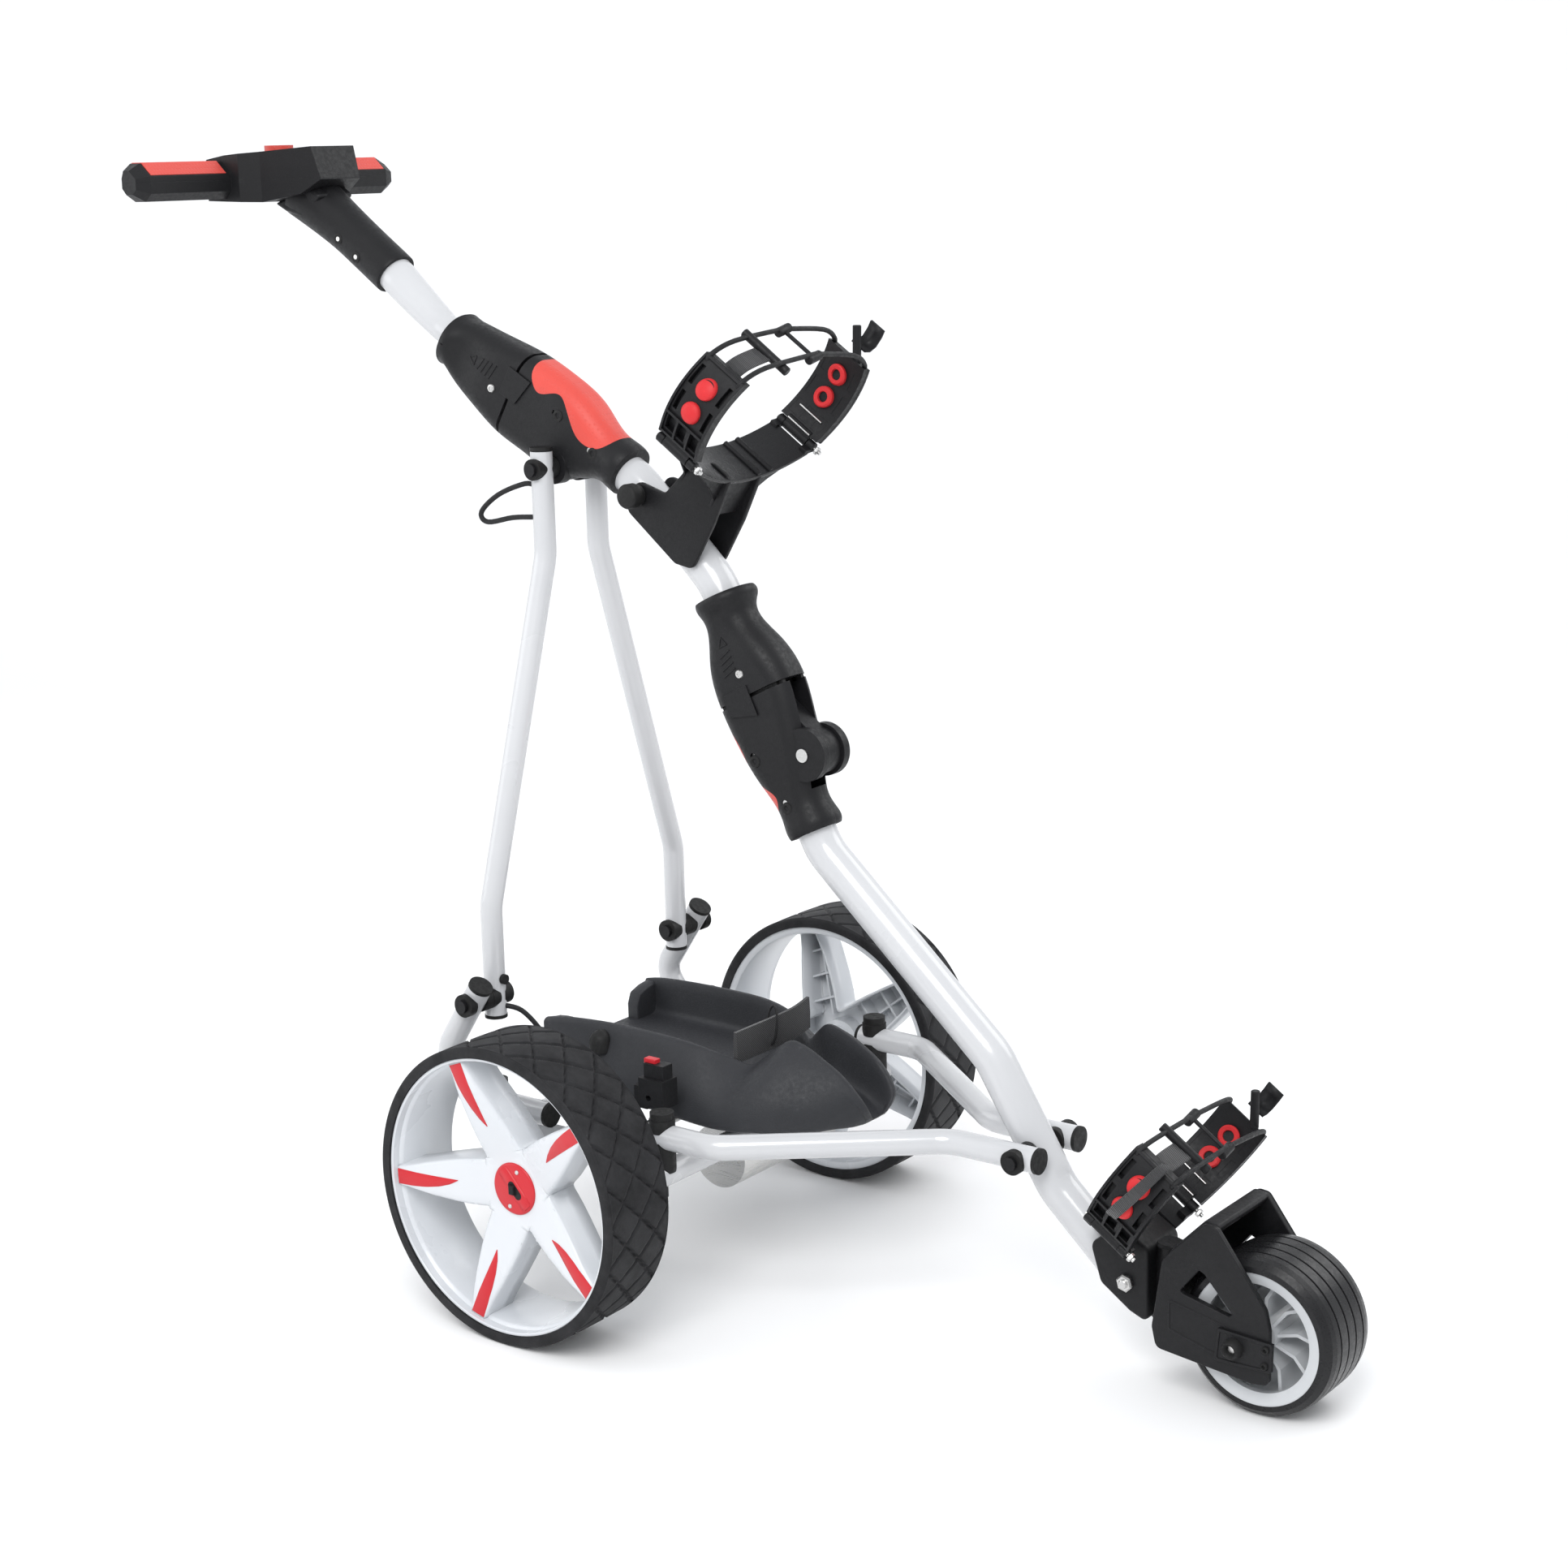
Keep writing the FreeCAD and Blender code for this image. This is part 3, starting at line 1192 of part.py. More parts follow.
def handle_upper():
    """Upper half of the bar and console, without the grip inserts."""
    upper = handle_body().common(box((-700, -250, GRIP_Z), (-300, 250, 1150)))
    for side in SIDES:
        upper = upper.cut(grip_insert_block(side))
    return upper.cut(upright_rod(DIAL_X, 0, 1080, 1110, DIAL_BORE)).removeSplitter()


def handle_body():
    """T-bar with faceted ends and the wedge-shaped console in its middle."""
    bar = slab(GRIP_SECTION, -HANDLE_HALF + 14, HANDLE_HALF - 14)
    pieces = [bar]
    for side in SIDES:
        end = side * (HANDLE_HALF - 14)
        wire = Part.makePolygon([Vector(x, end, z) for x, z in GRIP_SECTION + GRIP_SECTION[:1]])
        tip_points = [Vector(GRIP_X + (x - GRIP_X) * TIP_TAPER, side * HANDLE_HALF,
                             GRIP_Z + (z - GRIP_Z) * TIP_TAPER)
                      for x, z in GRIP_SECTION + GRIP_SECTION[:1]]
        pieces.append(Part.makeLoft([wire, Part.makePolygon(tip_points)], True, True))
    wedge = slab(((-566, 1046), (-566, 1088), (-540, 1092), (-441, 1099), (-431, 1066), (-455, 1052),
                  (-500, 1044)),
                 -60, 60)
    plan = Part.makePolygon([Vector(x, y, 1000) for x, y in
                             ((-570, -60), (-520, -58), (-500, -46), (-425, -26), (-425, 26), (-500, 46),
                              (-520, 58), (-570, 60), (-570, -60))])
    wedge = wedge.common(Part.Face(plan).extrude(Vector(0, 0, 150)))
    pieces.append(wedge)
    body = pieces[0].multiFuse(pieces[1:]).removeSplitter()
    return body.cut(box((-526, -27, 1053), (-462, 27, 1084)))


def grip_insert_block(side):
    """Space that a soft grip insert fills on top of the bar."""
    low = side * 64
    high = side * 163
    top = ((-563, 1080), (-560, 1086.8), (-545.5, 1086.8), (-532, 1074.5), (-534, 1070), (-547, 1080))
    return slab(top, min(low, high), max(low, high))


DIAL_X = -520.0
DIAL_BORE = 4.0


def speed_dial():
    """Rotary speed control on top of the console."""
    knob = upright_rod(DIAL_X, 0, 1095.0, 1101.0, 15)
    return knob.fuse(upright_rod(DIAL_X, 0, 1078, 1096, DIAL_BORE - RUNNING_GAP))


def control_board():
    """Circuit board inside the console."""
    return box((-524, -25, 1060), (-464, 25, 1062))


# ---- build --------------------------------------------------------------------------
def spine_pieces():
    """Tubes, collars and folding joints in the middle plane."""
    return {
        "handle_tube": handle_tube(),
        "middle_tube": middle_tube(),
        "lower_tube": lower_tube(),
        "upper_collar": upper_collar(),
        "lower_collar": lower_collar(),
        "upper_joint_core": joint_core(UPPER_AXES, UPPER_PIVOT, HANDLE_TUBE_RADIUS - TUBE_WALL, 15),
        "lower_joint_core": joint_core(LOWER_AXES, LOWER_PIVOT, MAIN_TUBE_RADIUS - TUBE_WALL, 22),
        "upper_housing": upper_housing(),
        "lower_housing": lower_housing(),
        "upper_joint_grip": joint_grip(UPPER_SECTIONS, UPPER_GRIP, UPPER_AXES),
        "lower_joint_grip": joint_grip(LOWER_SECTIONS, LOWER_GRIP, LOWER_AXES),
        "middle_screws": group([joint_screws(UPPER_SCREWS, UPPER_AXES)]
                               + hinge_pins(UPPER_CRADLE_HALF, UPPER_CRADLE_AXES)),
        "lower_screws": group([joint_screws(LOWER_SCREWS, LOWER_AXES), lower_pivot_bolt(),
                               bracket_bolt(), front_axle()]
                              + tracking_screws() + hinge_pins(LOWER_CRADLE_HALF, LOWER_CRADLE_AXES)),
        "upper_pivot_bolt": upper_pivot_bolt(),
    }


def chassis_pieces():
    """Stays, frame, tray and everything bolted to them."""
    return {
        "stay_right": stay(RIGHT),
        "stay_left": stay(LEFT),
        "stay_fittings": group(stay_caps() + stay_top_washers() + stay_foot_washers() + [stay_grommet()]),
        "rail_right": rail(RIGHT),
        "rail_left": rail(LEFT),
        "upright_right": upright(RIGHT),
        "upright_left": upright(LEFT),
        "lower_frame": lower_frame(),
        "frame_bushes": group(corner_bushes() + rail_washers() + upright_washers()),
        "frame_bolts": group(corner_bolts() + stay_foot_bolts() + rail_pivot_bolts()),
        "frame_caps": group(corner_caps() + chassis_end_caps() + tray_stops()),
        "battery_tray": battery_tray(),
        "tray_strap": tray_strap(),
        "battery_connector": battery_connector(),
    }


def drive_pieces():
    """Motor, gears and axle."""
    return {
        "motor_case": motor_case(),
        "motor_rotor": group([motor_rotor(), motor_pinion()]),
        "drive_gear": drive_gear(),
        "gearbox": gearbox(),
        "axle_shaft": axle_shaft(),
        "axle_bearings": axle_bearings(),
    }


def rear_wheel_pieces(side):
    word = "left" if side == LEFT else "right"
    return {
        "rear_tyre_" + word: rear_tyre(side),
        "rear_rim_" + word: rear_rim(side),
        "wheel_trim_" + word: wheel_trim(side),
        "wheel_latch_" + word: wheel_latch(side),
    }


def front_pieces():
    """Front wheel, its fork and the bracket on the lower tube."""
    return {
        "front_tyre": front_tyre(),
        "front_rim": front_rim(),
        "fork": fork(),
        "tracking_plates": tracking_plates(),
        "front_bracket": front_bracket(),
    }


def cradle_pieces():
    """Both bag cradles with their arms."""
    return {
        "upper_cradle_base": upper_cradle_base(),
        "lower_cradle_base": lower_cradle_base(),
        "cradle_knob": cradle_knob(),
        "upper_arm_right": cradle_arm(UPPER_CRADLE_HALF, UPPER_CRADLE_AXES, RIGHT, UPPER_ARM_LEAN[0]),
        "upper_arm_left": cradle_arm(UPPER_CRADLE_HALF, UPPER_CRADLE_AXES, LEFT, UPPER_ARM_LEAN[1]),
        "lower_arm_right": cradle_arm(LOWER_CRADLE_HALF, LOWER_CRADLE_AXES, RIGHT, LOWER_ARM_LEAN[0]),
        "lower_arm_left": cradle_arm(LOWER_CRADLE_HALF, LOWER_CRADLE_AXES, LEFT, LOWER_ARM_LEAN[1]),
    }


def handle_pieces():
    """Stem, T-bar, console and what the console holds."""
    return {
        "handle_stem": handle_stem(),
        "handle_lower": handle_lower(),
        "handle_upper": handle_upper(),
        "grip_inserts": group(grip_insert_block(side) for side in SIDES),
        "speed_dial": speed_dial(),
        "control_board": control_board(),
    }


def build():
    """Write every sub-part to the parts folder."""
    pieces = {}
    for some in (spine_pieces(), chassis_pieces(), drive_pieces(), front_pieces(),
                 rear_wheel_pieces(RIGHT), rear_wheel_pieces(LEFT), cradle_pieces(), handle_pieces()):
        pieces.update(some)
    for name, shape in pieces.items():
        save(name, shape)


os.makedirs("parts", exist_ok=True)
build()
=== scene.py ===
import bmesh
import bpy
import json
import math
from mathutils import Matrix, Vector

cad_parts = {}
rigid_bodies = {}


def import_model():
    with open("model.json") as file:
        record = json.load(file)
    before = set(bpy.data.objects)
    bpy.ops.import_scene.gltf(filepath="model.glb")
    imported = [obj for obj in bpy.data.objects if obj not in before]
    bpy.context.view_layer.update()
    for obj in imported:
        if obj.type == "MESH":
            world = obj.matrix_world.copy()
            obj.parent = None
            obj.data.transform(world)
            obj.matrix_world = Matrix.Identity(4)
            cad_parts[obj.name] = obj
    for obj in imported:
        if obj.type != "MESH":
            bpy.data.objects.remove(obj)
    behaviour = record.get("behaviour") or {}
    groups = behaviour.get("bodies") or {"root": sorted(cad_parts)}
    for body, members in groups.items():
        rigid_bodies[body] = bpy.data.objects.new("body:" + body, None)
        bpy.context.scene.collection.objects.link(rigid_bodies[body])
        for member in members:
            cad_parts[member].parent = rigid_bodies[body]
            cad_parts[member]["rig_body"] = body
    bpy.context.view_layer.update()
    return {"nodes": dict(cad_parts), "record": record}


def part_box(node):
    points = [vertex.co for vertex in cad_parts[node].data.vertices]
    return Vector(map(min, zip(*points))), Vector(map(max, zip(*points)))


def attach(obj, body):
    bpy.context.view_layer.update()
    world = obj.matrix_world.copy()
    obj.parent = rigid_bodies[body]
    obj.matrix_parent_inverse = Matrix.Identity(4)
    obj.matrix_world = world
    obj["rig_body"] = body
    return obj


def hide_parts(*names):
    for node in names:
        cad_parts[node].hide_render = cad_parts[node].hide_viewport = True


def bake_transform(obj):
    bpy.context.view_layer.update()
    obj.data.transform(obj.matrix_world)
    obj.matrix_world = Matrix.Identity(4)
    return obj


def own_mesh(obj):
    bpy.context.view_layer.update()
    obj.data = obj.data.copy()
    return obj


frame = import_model()

MM = 0.001
RIGHT = -1
LEFT = 1
HANDS = ((RIGHT, "right"), (LEFT, "left"))
WELD_DISTANCE = 0.00001


# ---- materials ----------------------------------------------------------------------
class Nodes:
    """Short way to build a node material."""

    def __init__(self, name):
        self.material = bpy.data.materials.new(name)
        self.material.use_nodes = True
        self.tree = self.material.node_tree
        self.surface = self.tree.nodes["Principled BSDF"]
        coords = self.tree.nodes.new("ShaderNodeTexCoord")
        self.position = coords.outputs["Object"]

    def add(self, kind, inputs=None, **settings):
        node = self.tree.nodes.new(kind)
        for key, value in settings.items():
            setattr(node, key, value)
        for key, value in (inputs or {}).items():
            if hasattr(value, "is_output"):
                self.tree.links.new(value, node.inputs[key])
            else:
                node.inputs[key].default_value = value
        return node

    def noise(self, scale, detail=3.0, roughness=0.5):
        node = self.add("ShaderNodeTexNoise", {"Vector": self.position, "Scale": scale,
                                               "Detail": detail, "Roughness": roughness})
        return node.outputs["Fac"]

    def ramp(self, value, low, high, low_at=0.3, high_at=0.7):
        """Map a 0 to 1 value onto the range low to high."""
        node = self.add("ShaderNodeMapRange", {"Value": value, "From Min": low_at, "From Max": high_at,
                                               "To Min": low, "To Max": high})
        return node.outputs["Result"]

    def mix_colours(self, factor, first, second):
        node = self.add("ShaderNodeMix", {"Factor": factor}, data_type="RGBA")
        node.inputs[6].default_value = (*first, 1)
        node.inputs[7].default_value = (*second, 1)
        return node.outputs[2]

    def bump(self, height, strength, distance=0.0005, normal=None):
        node = self.add("ShaderNodeBump", {"Height": height, "Strength": strength, "Distance": distance})
        if normal is not None:
            self.tree.links.new(normal, node.inputs["Normal"])
        return node.outputs["Normal"]

    def rounded(self, radius=0.0007):
        """Normal that softens sharp moulded edges."""
        return self.add("ShaderNodeBevel", {"Radius": radius}, samples=4).outputs["Normal"]

    def set(self, **inputs):
        for key, value in inputs.items():
            socket = self.surface.inputs[key.replace("_", " ")]
            if hasattr(value, "is_output"):
                self.tree.links.new(value, socket)
            else:
                socket.default_value = value
        return self.material


def powder_coat():
    """Glossy white paint with a slight orange peel and a clear lacquer."""
    n = Nodes("white_powder_coat")
    cloud = n.noise(7, 4)
    peel = n.noise(420, 2)
    colour = n.mix_colours(cloud, (0.50, 0.505, 0.52), (0.56, 0.565, 0.575))
    return n.set(Base_Color=colour, Roughness=n.ramp(cloud, 0.16, 0.30), Coat_Weight=0.6, Coat_Roughness=0.06,
                 Normal=n.bump(peel, 0.10, 0.0003))


def moulded(name, dark, light, rough_low, rough_high, grain=900, grain_strength=0.35):
    """Textured moulded plastic: fine spark-erosion grain, cloudy sheen and scuffed patches."""
    n = Nodes(name)
    cloud = n.noise(14, 5, 0.6)
    fine = n.noise(grain, 2)
    speck = n.noise(260, 3)
    scuff = n.ramp(n.noise(55, 8, 0.75), 0, 1, 0.62, 0.78)
    base = n.mix_colours(cloud, dark, light)
    worn = n.add("ShaderNodeMix", {"Factor": scuff}, data_type="RGBA")
    n.tree.links.new(base, worn.inputs[6])
    worn.inputs[7].default_value = (*[1.5 * c + 0.004 for c in light], 1)
    rough = n.ramp(speck, rough_low, rough_high, 0.35, 0.65)
    return n.set(Base_Color=worn.outputs[2], Roughness=rough, Specular_IOR_Level=0.24,
                 Normal=n.bump(fine, grain_strength, 0.0004, n.rounded()))


def soft_red():
    """Soft overmoulding with rows of small dimples."""
    n = Nodes("soft_red_rubber")
    cloud = n.noise(20, 4)
    dots = n.add("ShaderNodeTexVoronoi", {"Vector": n.position, "Scale": 240.0, "Randomness": 0.15})
    dimple = n.ramp(dots.outputs["Distance"], 0, 1, 0.18, 0.30)
    fine = n.noise(1100, 2)
    colour = n.mix_colours(cloud, (0.54, 0.042, 0.030), (0.64, 0.062, 0.042))
    grain = n.bump(fine, 0.25, 0.0003, n.rounded())
    return n.set(Base_Color=colour, Roughness=n.ramp(cloud, 0.42, 0.58), Sheen_Weight=0.1,
                 Normal=n.bump(dimple, 0.5, 0.0005, grain))


def gloss_red():
    n = Nodes("red_trim_plastic")
    cloud = n.noise(18, 4)
    fine = n.noise(700, 2)
    colour = n.mix_colours(cloud, (0.46, 0.005, 0.012), (0.56, 0.010, 0.02))
    return n.set(Base_Color=colour, Roughness=n.ramp(cloud, 0.28, 0.42), Normal=n.bump(fine, 0.2, 0.0003))


def white_moulding(name, dark, light, rough):
    n = Nodes(name)
    cloud = n.noise(9, 4)
    fine = n.noise(500, 2)
    colour = n.mix_colours(cloud, dark, light)
    return n.set(Base_Color=colour, Roughness=n.ramp(cloud, rough, rough + 0.12), Coat_Weight=0.25,
                 Coat_Roughness=0.1, Normal=n.bump(fine, 0.12, 0.0003))


def tyre_rubber():
    n = Nodes("tyre_rubber")
    cloud = n.noise(12, 6, 0.65)
    fine = n.noise(650, 4)
    dust = n.noise(40, 6, 0.7)
    colour = n.mix_colours(n.ramp(dust, 0, 1, 0.35, 0.75), (0.007, 0.007, 0.008), (0.022, 0.022, 0.024))
    return n.set(Base_Color=colour, Roughness=n.ramp(cloud, 0.50, 0.72), Specular_IOR_Level=0.25,
                 Normal=n.bump(fine, 0.4, 0.0005))


def bright_steel():
    n = Nodes("bright_steel")
    stretch = n.add("ShaderNodeMapping", {"Vector": n.position, "Scale": (40, 40, 900)})
    lines = n.add("ShaderNodeTexNoise", {"Vector": stretch.outputs["Vector"], "Scale": 1.0, "Detail": 3.0})
    colour = n.mix_colours(n.noise(60), (0.50, 0.50, 0.50), (0.68, 0.67, 0.65))
    return n.set(Base_Color=colour, Metallic=1.0, Roughness=n.ramp(lines.outputs["Fac"], 0.22, 0.40),
                 Normal=n.bump(lines.outputs["Fac"], 0.1, 0.0002))


def webbing():
    """Woven nylon tape: fine diagonal ribs with a satin sheen."""
    n = Nodes("black_webbing")
    ribs = n.add("ShaderNodeTexWave", {"Vector": n.position, "Scale": 260.0, "Distortion": 0.6,
                                       "Detail": 2.0}, wave_type="BANDS", bands_direction="DIAGONAL")
    cloud = n.noise(30, 4)
    colour = n.mix_colours(ribs.outputs["Fac"], (0.005, 0.005, 0.006), (0.018, 0.018, 0.020))
    return n.set(Base_Color=colour, Roughness=n.ramp(cloud, 0.38, 0.6), Sheen_Weight=0.3,
                 Normal=n.bump(ribs.outputs["Fac"], 0.6, 0.0006))


def circuit_green():
    n = Nodes("circuit_lacquer")
    tracks = n.noise(90, 2)
    colour = n.mix_colours(n.ramp(tracks, 0, 1, 0.48, 0.52), (0.01, 0.08, 0.03), (0.02, 0.16, 0.06))
    return n.set(Base_Color=colour, Roughness=0.35, Normal=n.bump(tracks, 0.2, 0.0002))


WHITE_PAINT = powder_coat()
BLACK = moulded("black_textured_plastic", (0.005, 0.005, 0.006), (0.011, 0.011, 0.012), 0.40, 0.55)
TRAY_GREY = moulded("dark_grey_plastic", (0.022, 0.023, 0.026), (0.036, 0.037, 0.041), 0.46, 0.60, 800, 0.45)
RUBBER = moulded("black_rubber", (0.008, 0.008, 0.008), (0.016, 0.016, 0.016), 0.50, 0.68, 700, 0.3)
RED_SOFT = soft_red()
RED_TRIM = gloss_red()
WHITE_RIM = white_moulding("white_rim_plastic", (0.58, 0.60, 0.63), (0.66, 0.68, 0.70), 0.24)
GREY_RIM = white_moulding("grey_rim_plastic", (0.50, 0.515, 0.53), (0.57, 0.585, 0.60), 0.34)
TYRE = tyre_rubber()
STEEL = bright_steel()
WEBBING = webbing()
CORD = moulded("woven_cord", (0.006, 0.006, 0.007), (0.020, 0.020, 0.021), 0.45, 0.62, 1400, 0.6)
SATIN = moulded("satin_black_plastic", (0.008, 0.008, 0.009), (0.014, 0.014, 0.015), 0.26, 0.36, 900, 0.2)
GLOSSY_TYRE = moulded("glossy_tyre_rubber", (0.006, 0.006, 0.007), (0.016, 0.016, 0.017), 0.24, 0.38,
                      500, 0.2)
RED_SOFT_PLAIN = moulded("red_button_rubber", (0.50, 0.018, 0.022), (0.58, 0.028, 0.032), 0.42, 0.55,
                         1300, 0.3)
CIRCUIT = circuit_green()
BY_SLOT = {"powder_coat": WHITE_PAINT, "black_plastic": BLACK, "grey_plastic": TRAY_GREY,
           "red_rubber": RED_SOFT, "red_plastic": RED_TRIM, "black_rubber": RUBBER,
           "white_plastic": WHITE_RIM, "light_plastic": GREY_RIM, "steel": STEEL, "tyre": TYRE,
           "webbing": WEBBING, "circuit": CIRCUIT}


def finish_cad_nodes():
    """Give every CAD node the procedural material of its slot."""
    for row in frame["record"]["subparts"]:
        node = frame["nodes"][row["node"]]
        node.data.materials.clear()
        node.data.materials.append(BY_SLOT[row["material_slot"]])


finish_cad_nodes()
for covered in ("fork", "frame_bolts", "upper_pivot_bolt"):
    frame["nodes"][covered].data.materials[0] = BLACK
frame["nodes"]["front_tyre"].data.materials[0] = GLOSSY_TYRE


# ---- mesh helpers -------------------------------------------------------------------
def add_piece(name, points, faces, material, body, smooth=40):
    """Mesh piece from points in millimetres; edges sharper than smooth stay crisp."""
    mesh = bpy.data.meshes.new(name)
    mesh.from_pydata([tuple(MM * v for v in p) for p in points], [], faces)
    mesh.validate()
    return place_mesh(name, mesh, material, body, smooth)


def place_mesh(name, mesh, material, body, smooth):
    """Weld and shade a mesh, then give it its material and body."""
    weld = bmesh.new()
    weld.from_mesh(mesh)
    bmesh.ops.remove_doubles(weld, verts=weld.verts, dist=WELD_DISTANCE)
    bmesh.ops.recalc_face_normals(weld, faces=weld.faces)
    weld.to_mesh(mesh)
    weld.free()
    mesh.materials.append(material)
    piece = bpy.data.objects.new(name, mesh)
    bpy.context.scene.collection.objects.link(piece)
    for face in mesh.polygons:
        face.use_smooth = True
    mesh.set_sharp_from_angle(angle=math.radians(smooth))
    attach(piece, body)
    return piece


def ring_faces(rings, around=True, caps=True):
    """Points and faces of a skin through rings that have equal counts."""
    count = len(rings[0])
    points = [p for ring in rings for p in ring]
    faces = []
    for i in range(len(rings) - 1):
        for j in range(count if around else count - 1):
            k = (j + 1) % count
            faces.append((i * count + j, i * count + k, (i + 1) * count + k, (i + 1) * count + j))
    if caps:
        faces.append(tuple(range(count)))
        faces.append(tuple((len(rings) - 1) * count + j for j in reversed(range(count))))
    return points, faces


def add_skin(name, rings, material, body, smooth=40):
    """Closed piece through rings that have equal counts."""
    points, faces = ring_faces(rings)
    return add_piece(name, points, faces, material, body, smooth)


def lathe(name, profile, centre, material, body, side=LEFT, steps=96, closed=True, smooth=40):
    """Turn a profile of (radius, offset along Y) around a Y axis; side flips the offset."""
    cx, cy, cz = centre
    rings = []
    for step in range(steps):
        angle = 2 * math.pi * step / steps
        rings.append([(cx + r * math.cos(angle), cy + side * y, cz + r * math.sin(angle))
                      for r, y in profile])
    points, faces = ring_faces(rings + rings[:1], around=closed, caps=False)
    return add_piece(name, points, faces, material, body, smooth)


def sweep_path(points, bend, bend_steps=8):
    """Polyline with an arc at each inner corner."""
    points = [Vector(p) for p in points]
    path = [points[0]]
    for before, corner, after in zip(points, points[1:], points[2:]):
        back = (before - corner).normalized()
        ahead = (after - corner).normalized()
        half = back.angle(ahead) / 2
        reach = min(bend / math.tan(half), 0.49 * (before - corner).length, 0.49 * (after - corner).length)
        radius = reach * math.tan(half)
        centre = corner + (back + ahead).normalized() * (radius / math.sin(half))
        start = corner + back * reach - centre
        finish = corner + ahead * reach - centre
        swing = start.angle(finish)
        for step in range(bend_steps + 1):
            share = step / bend_steps
            turned = math.sin((1 - share) * swing) * start + math.sin(share * swing) * finish
            path.append(centre + turned / math.sin(swing))
    path.append(points[-1])
    return path


def sweep(name, points, section, material, body, bend=20, up=(0, 1, 0), smooth=40):
    """Sweep a closed section of (side, up) offsets along a path."""
    path = sweep_path(points, bend)
    rings = []
    for i, place in enumerate(path):
        ahead = (path[min(i + 1, len(path) - 1)] - path[max(i - 1, 0)]).normalized()
        side = Vector(up).cross(ahead).normalized()
        top = ahead.cross(side)
        rings.append([tuple(place + side * a + top * b) for a, b in section])
    return add_skin(name, rings, material, body, smooth)


def round_section(radius, steps=16):
    return [(radius * math.cos(2 * math.pi * i / steps), radius * math.sin(2 * math.pi * i / steps))
            for i in range(steps)]


def tape_section(width, thickness):
    w, t = width / 2, thickness / 2
    return [(-w, -t), (w, -t), (w + t, 0), (w, t), (-w, t), (-w - t, 0)]


def between(table, value):
    """Straight-line value from a table of (key, value) pairs."""
    if value <= table[0][0]:
        return table[0][1]
    for (k0, v0), (k1, v1) in zip(table, table[1:]):
        if value <= k1:
            return v0 + (v1 - v0) * (value - k0) / (k1 - k0)
    return table[-1][1]


def curve_through(stations, steps=4):
    """Smooth interpolation (Catmull-Rom) of rows of numbers."""
    rows = [tuple(float(v) for v in row) for row in stations]
    smoothed = []
    for i in range(len(rows) - 1):
        a, b, c, d = (rows[max(0, min(j, len(rows) - 1))] for j in (i - 1, i, i + 1, i + 2))
        for step in range(steps):
            t = step / steps
            smoothed.append(tuple(0.5 * (2 * q + (r - p) * t + (2 * p - 5 * q + 4 * r - w) * t * t
                                         + (3 * q - p - 3 * r + w) * t ** 3)
                                  for p, q, r, w in zip(a, b, c, d)))
    smoothed.append(rows[-1])
    return smoothed


def solidify(piece, thickness, offset=-1.0):
    shell = piece.modifiers.new("shell", "SOLIDIFY")
    shell.thickness = thickness * MM
    shell.offset = offset
    return piece


def bevel(piece, width, segments=2, angle=35):
    edge = piece.modifiers.new("edge", "BEVEL")
    edge.width = width * MM
    edge.segments = segments
    edge.limit_method = "ANGLE"
    edge.angle_limit = math.radians(angle)
    edge.harden_normals = True
    return piece


# ---- rear wheels --------------------------------------------------------------------
def middle_of(node):
    low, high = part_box(node)
    return (low + high) / 2 / MM


def box_in_mm(node):
    low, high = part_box(node)
    return low / MM, high / MM


def half_size(node):
    low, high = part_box(node)
    return (high - low) / 2 / MM


SPOKES = 5
FIRST_SPOKE = 39.0
HUB_RADIUS = 34
HUB_HALF_WIDTH = 24.7
HUB_FACE_INSET = 28.4
CAP_RADIUS = 23.2
KEYHOLE_REACH = 5.5
SPOKE_HALF_WIDTH = ((34, 24.7), (35.5, 23.7), (38, 23.0), (44, 22.9), (56, 22.2), (70, 20.5), (94, 16.5),
                    (108, 13.3), (120, 10.9), (131, 9.6))
FACE_DEPTH = ((0, 28.5), (27, 28.5), (34, 27), (50, 22.5), (70, 17.0), (94, 10.8), (108, 7.6), (131, 4.5))
SPOKE_WALL = 36.0
SPOKE_SHELL = 2.6


def wheel_point(wheel, radius, lateral, depth, spoke):
    """Point on a rear wheel: out along a spoke, sideways from it, and in from the rim's lip."""
    centre, lip, side = wheel
    angle = math.radians(FIRST_SPOKE + 360 * spoke / SPOKES)
    x = radius * math.cos(angle) - lateral * math.sin(angle)
    z = radius * math.sin(angle) + lateral * math.cos(angle)
    return (centre.x + x, side * (lip - depth), centre.z + z)


def spoke_row(wheel, radius, spoke, hub):
    """Points across a spoke's face, with rounded edges and side walls."""
    half = between(SPOKE_HALF_WIDTH, max(radius, HUB_RADIUS))
    if hub:
        half = HUB_HALF_WIDTH * radius / HUB_RADIUS
    row = []
    for share in (-1.0, -0.975, -0.93, -0.85, -0.6, -0.3, 0.0, 0.3, 0.6, 0.85, 0.93, 0.975, 1.0):
        drop = 0.0 if hub else 2.6 * max(0.0, (abs(share) - 0.8) / 0.2) ** 2.4
        row.append(wheel_point(wheel, radius, share * half, between(FACE_DEPTH, radius) + drop, spoke))
    return row


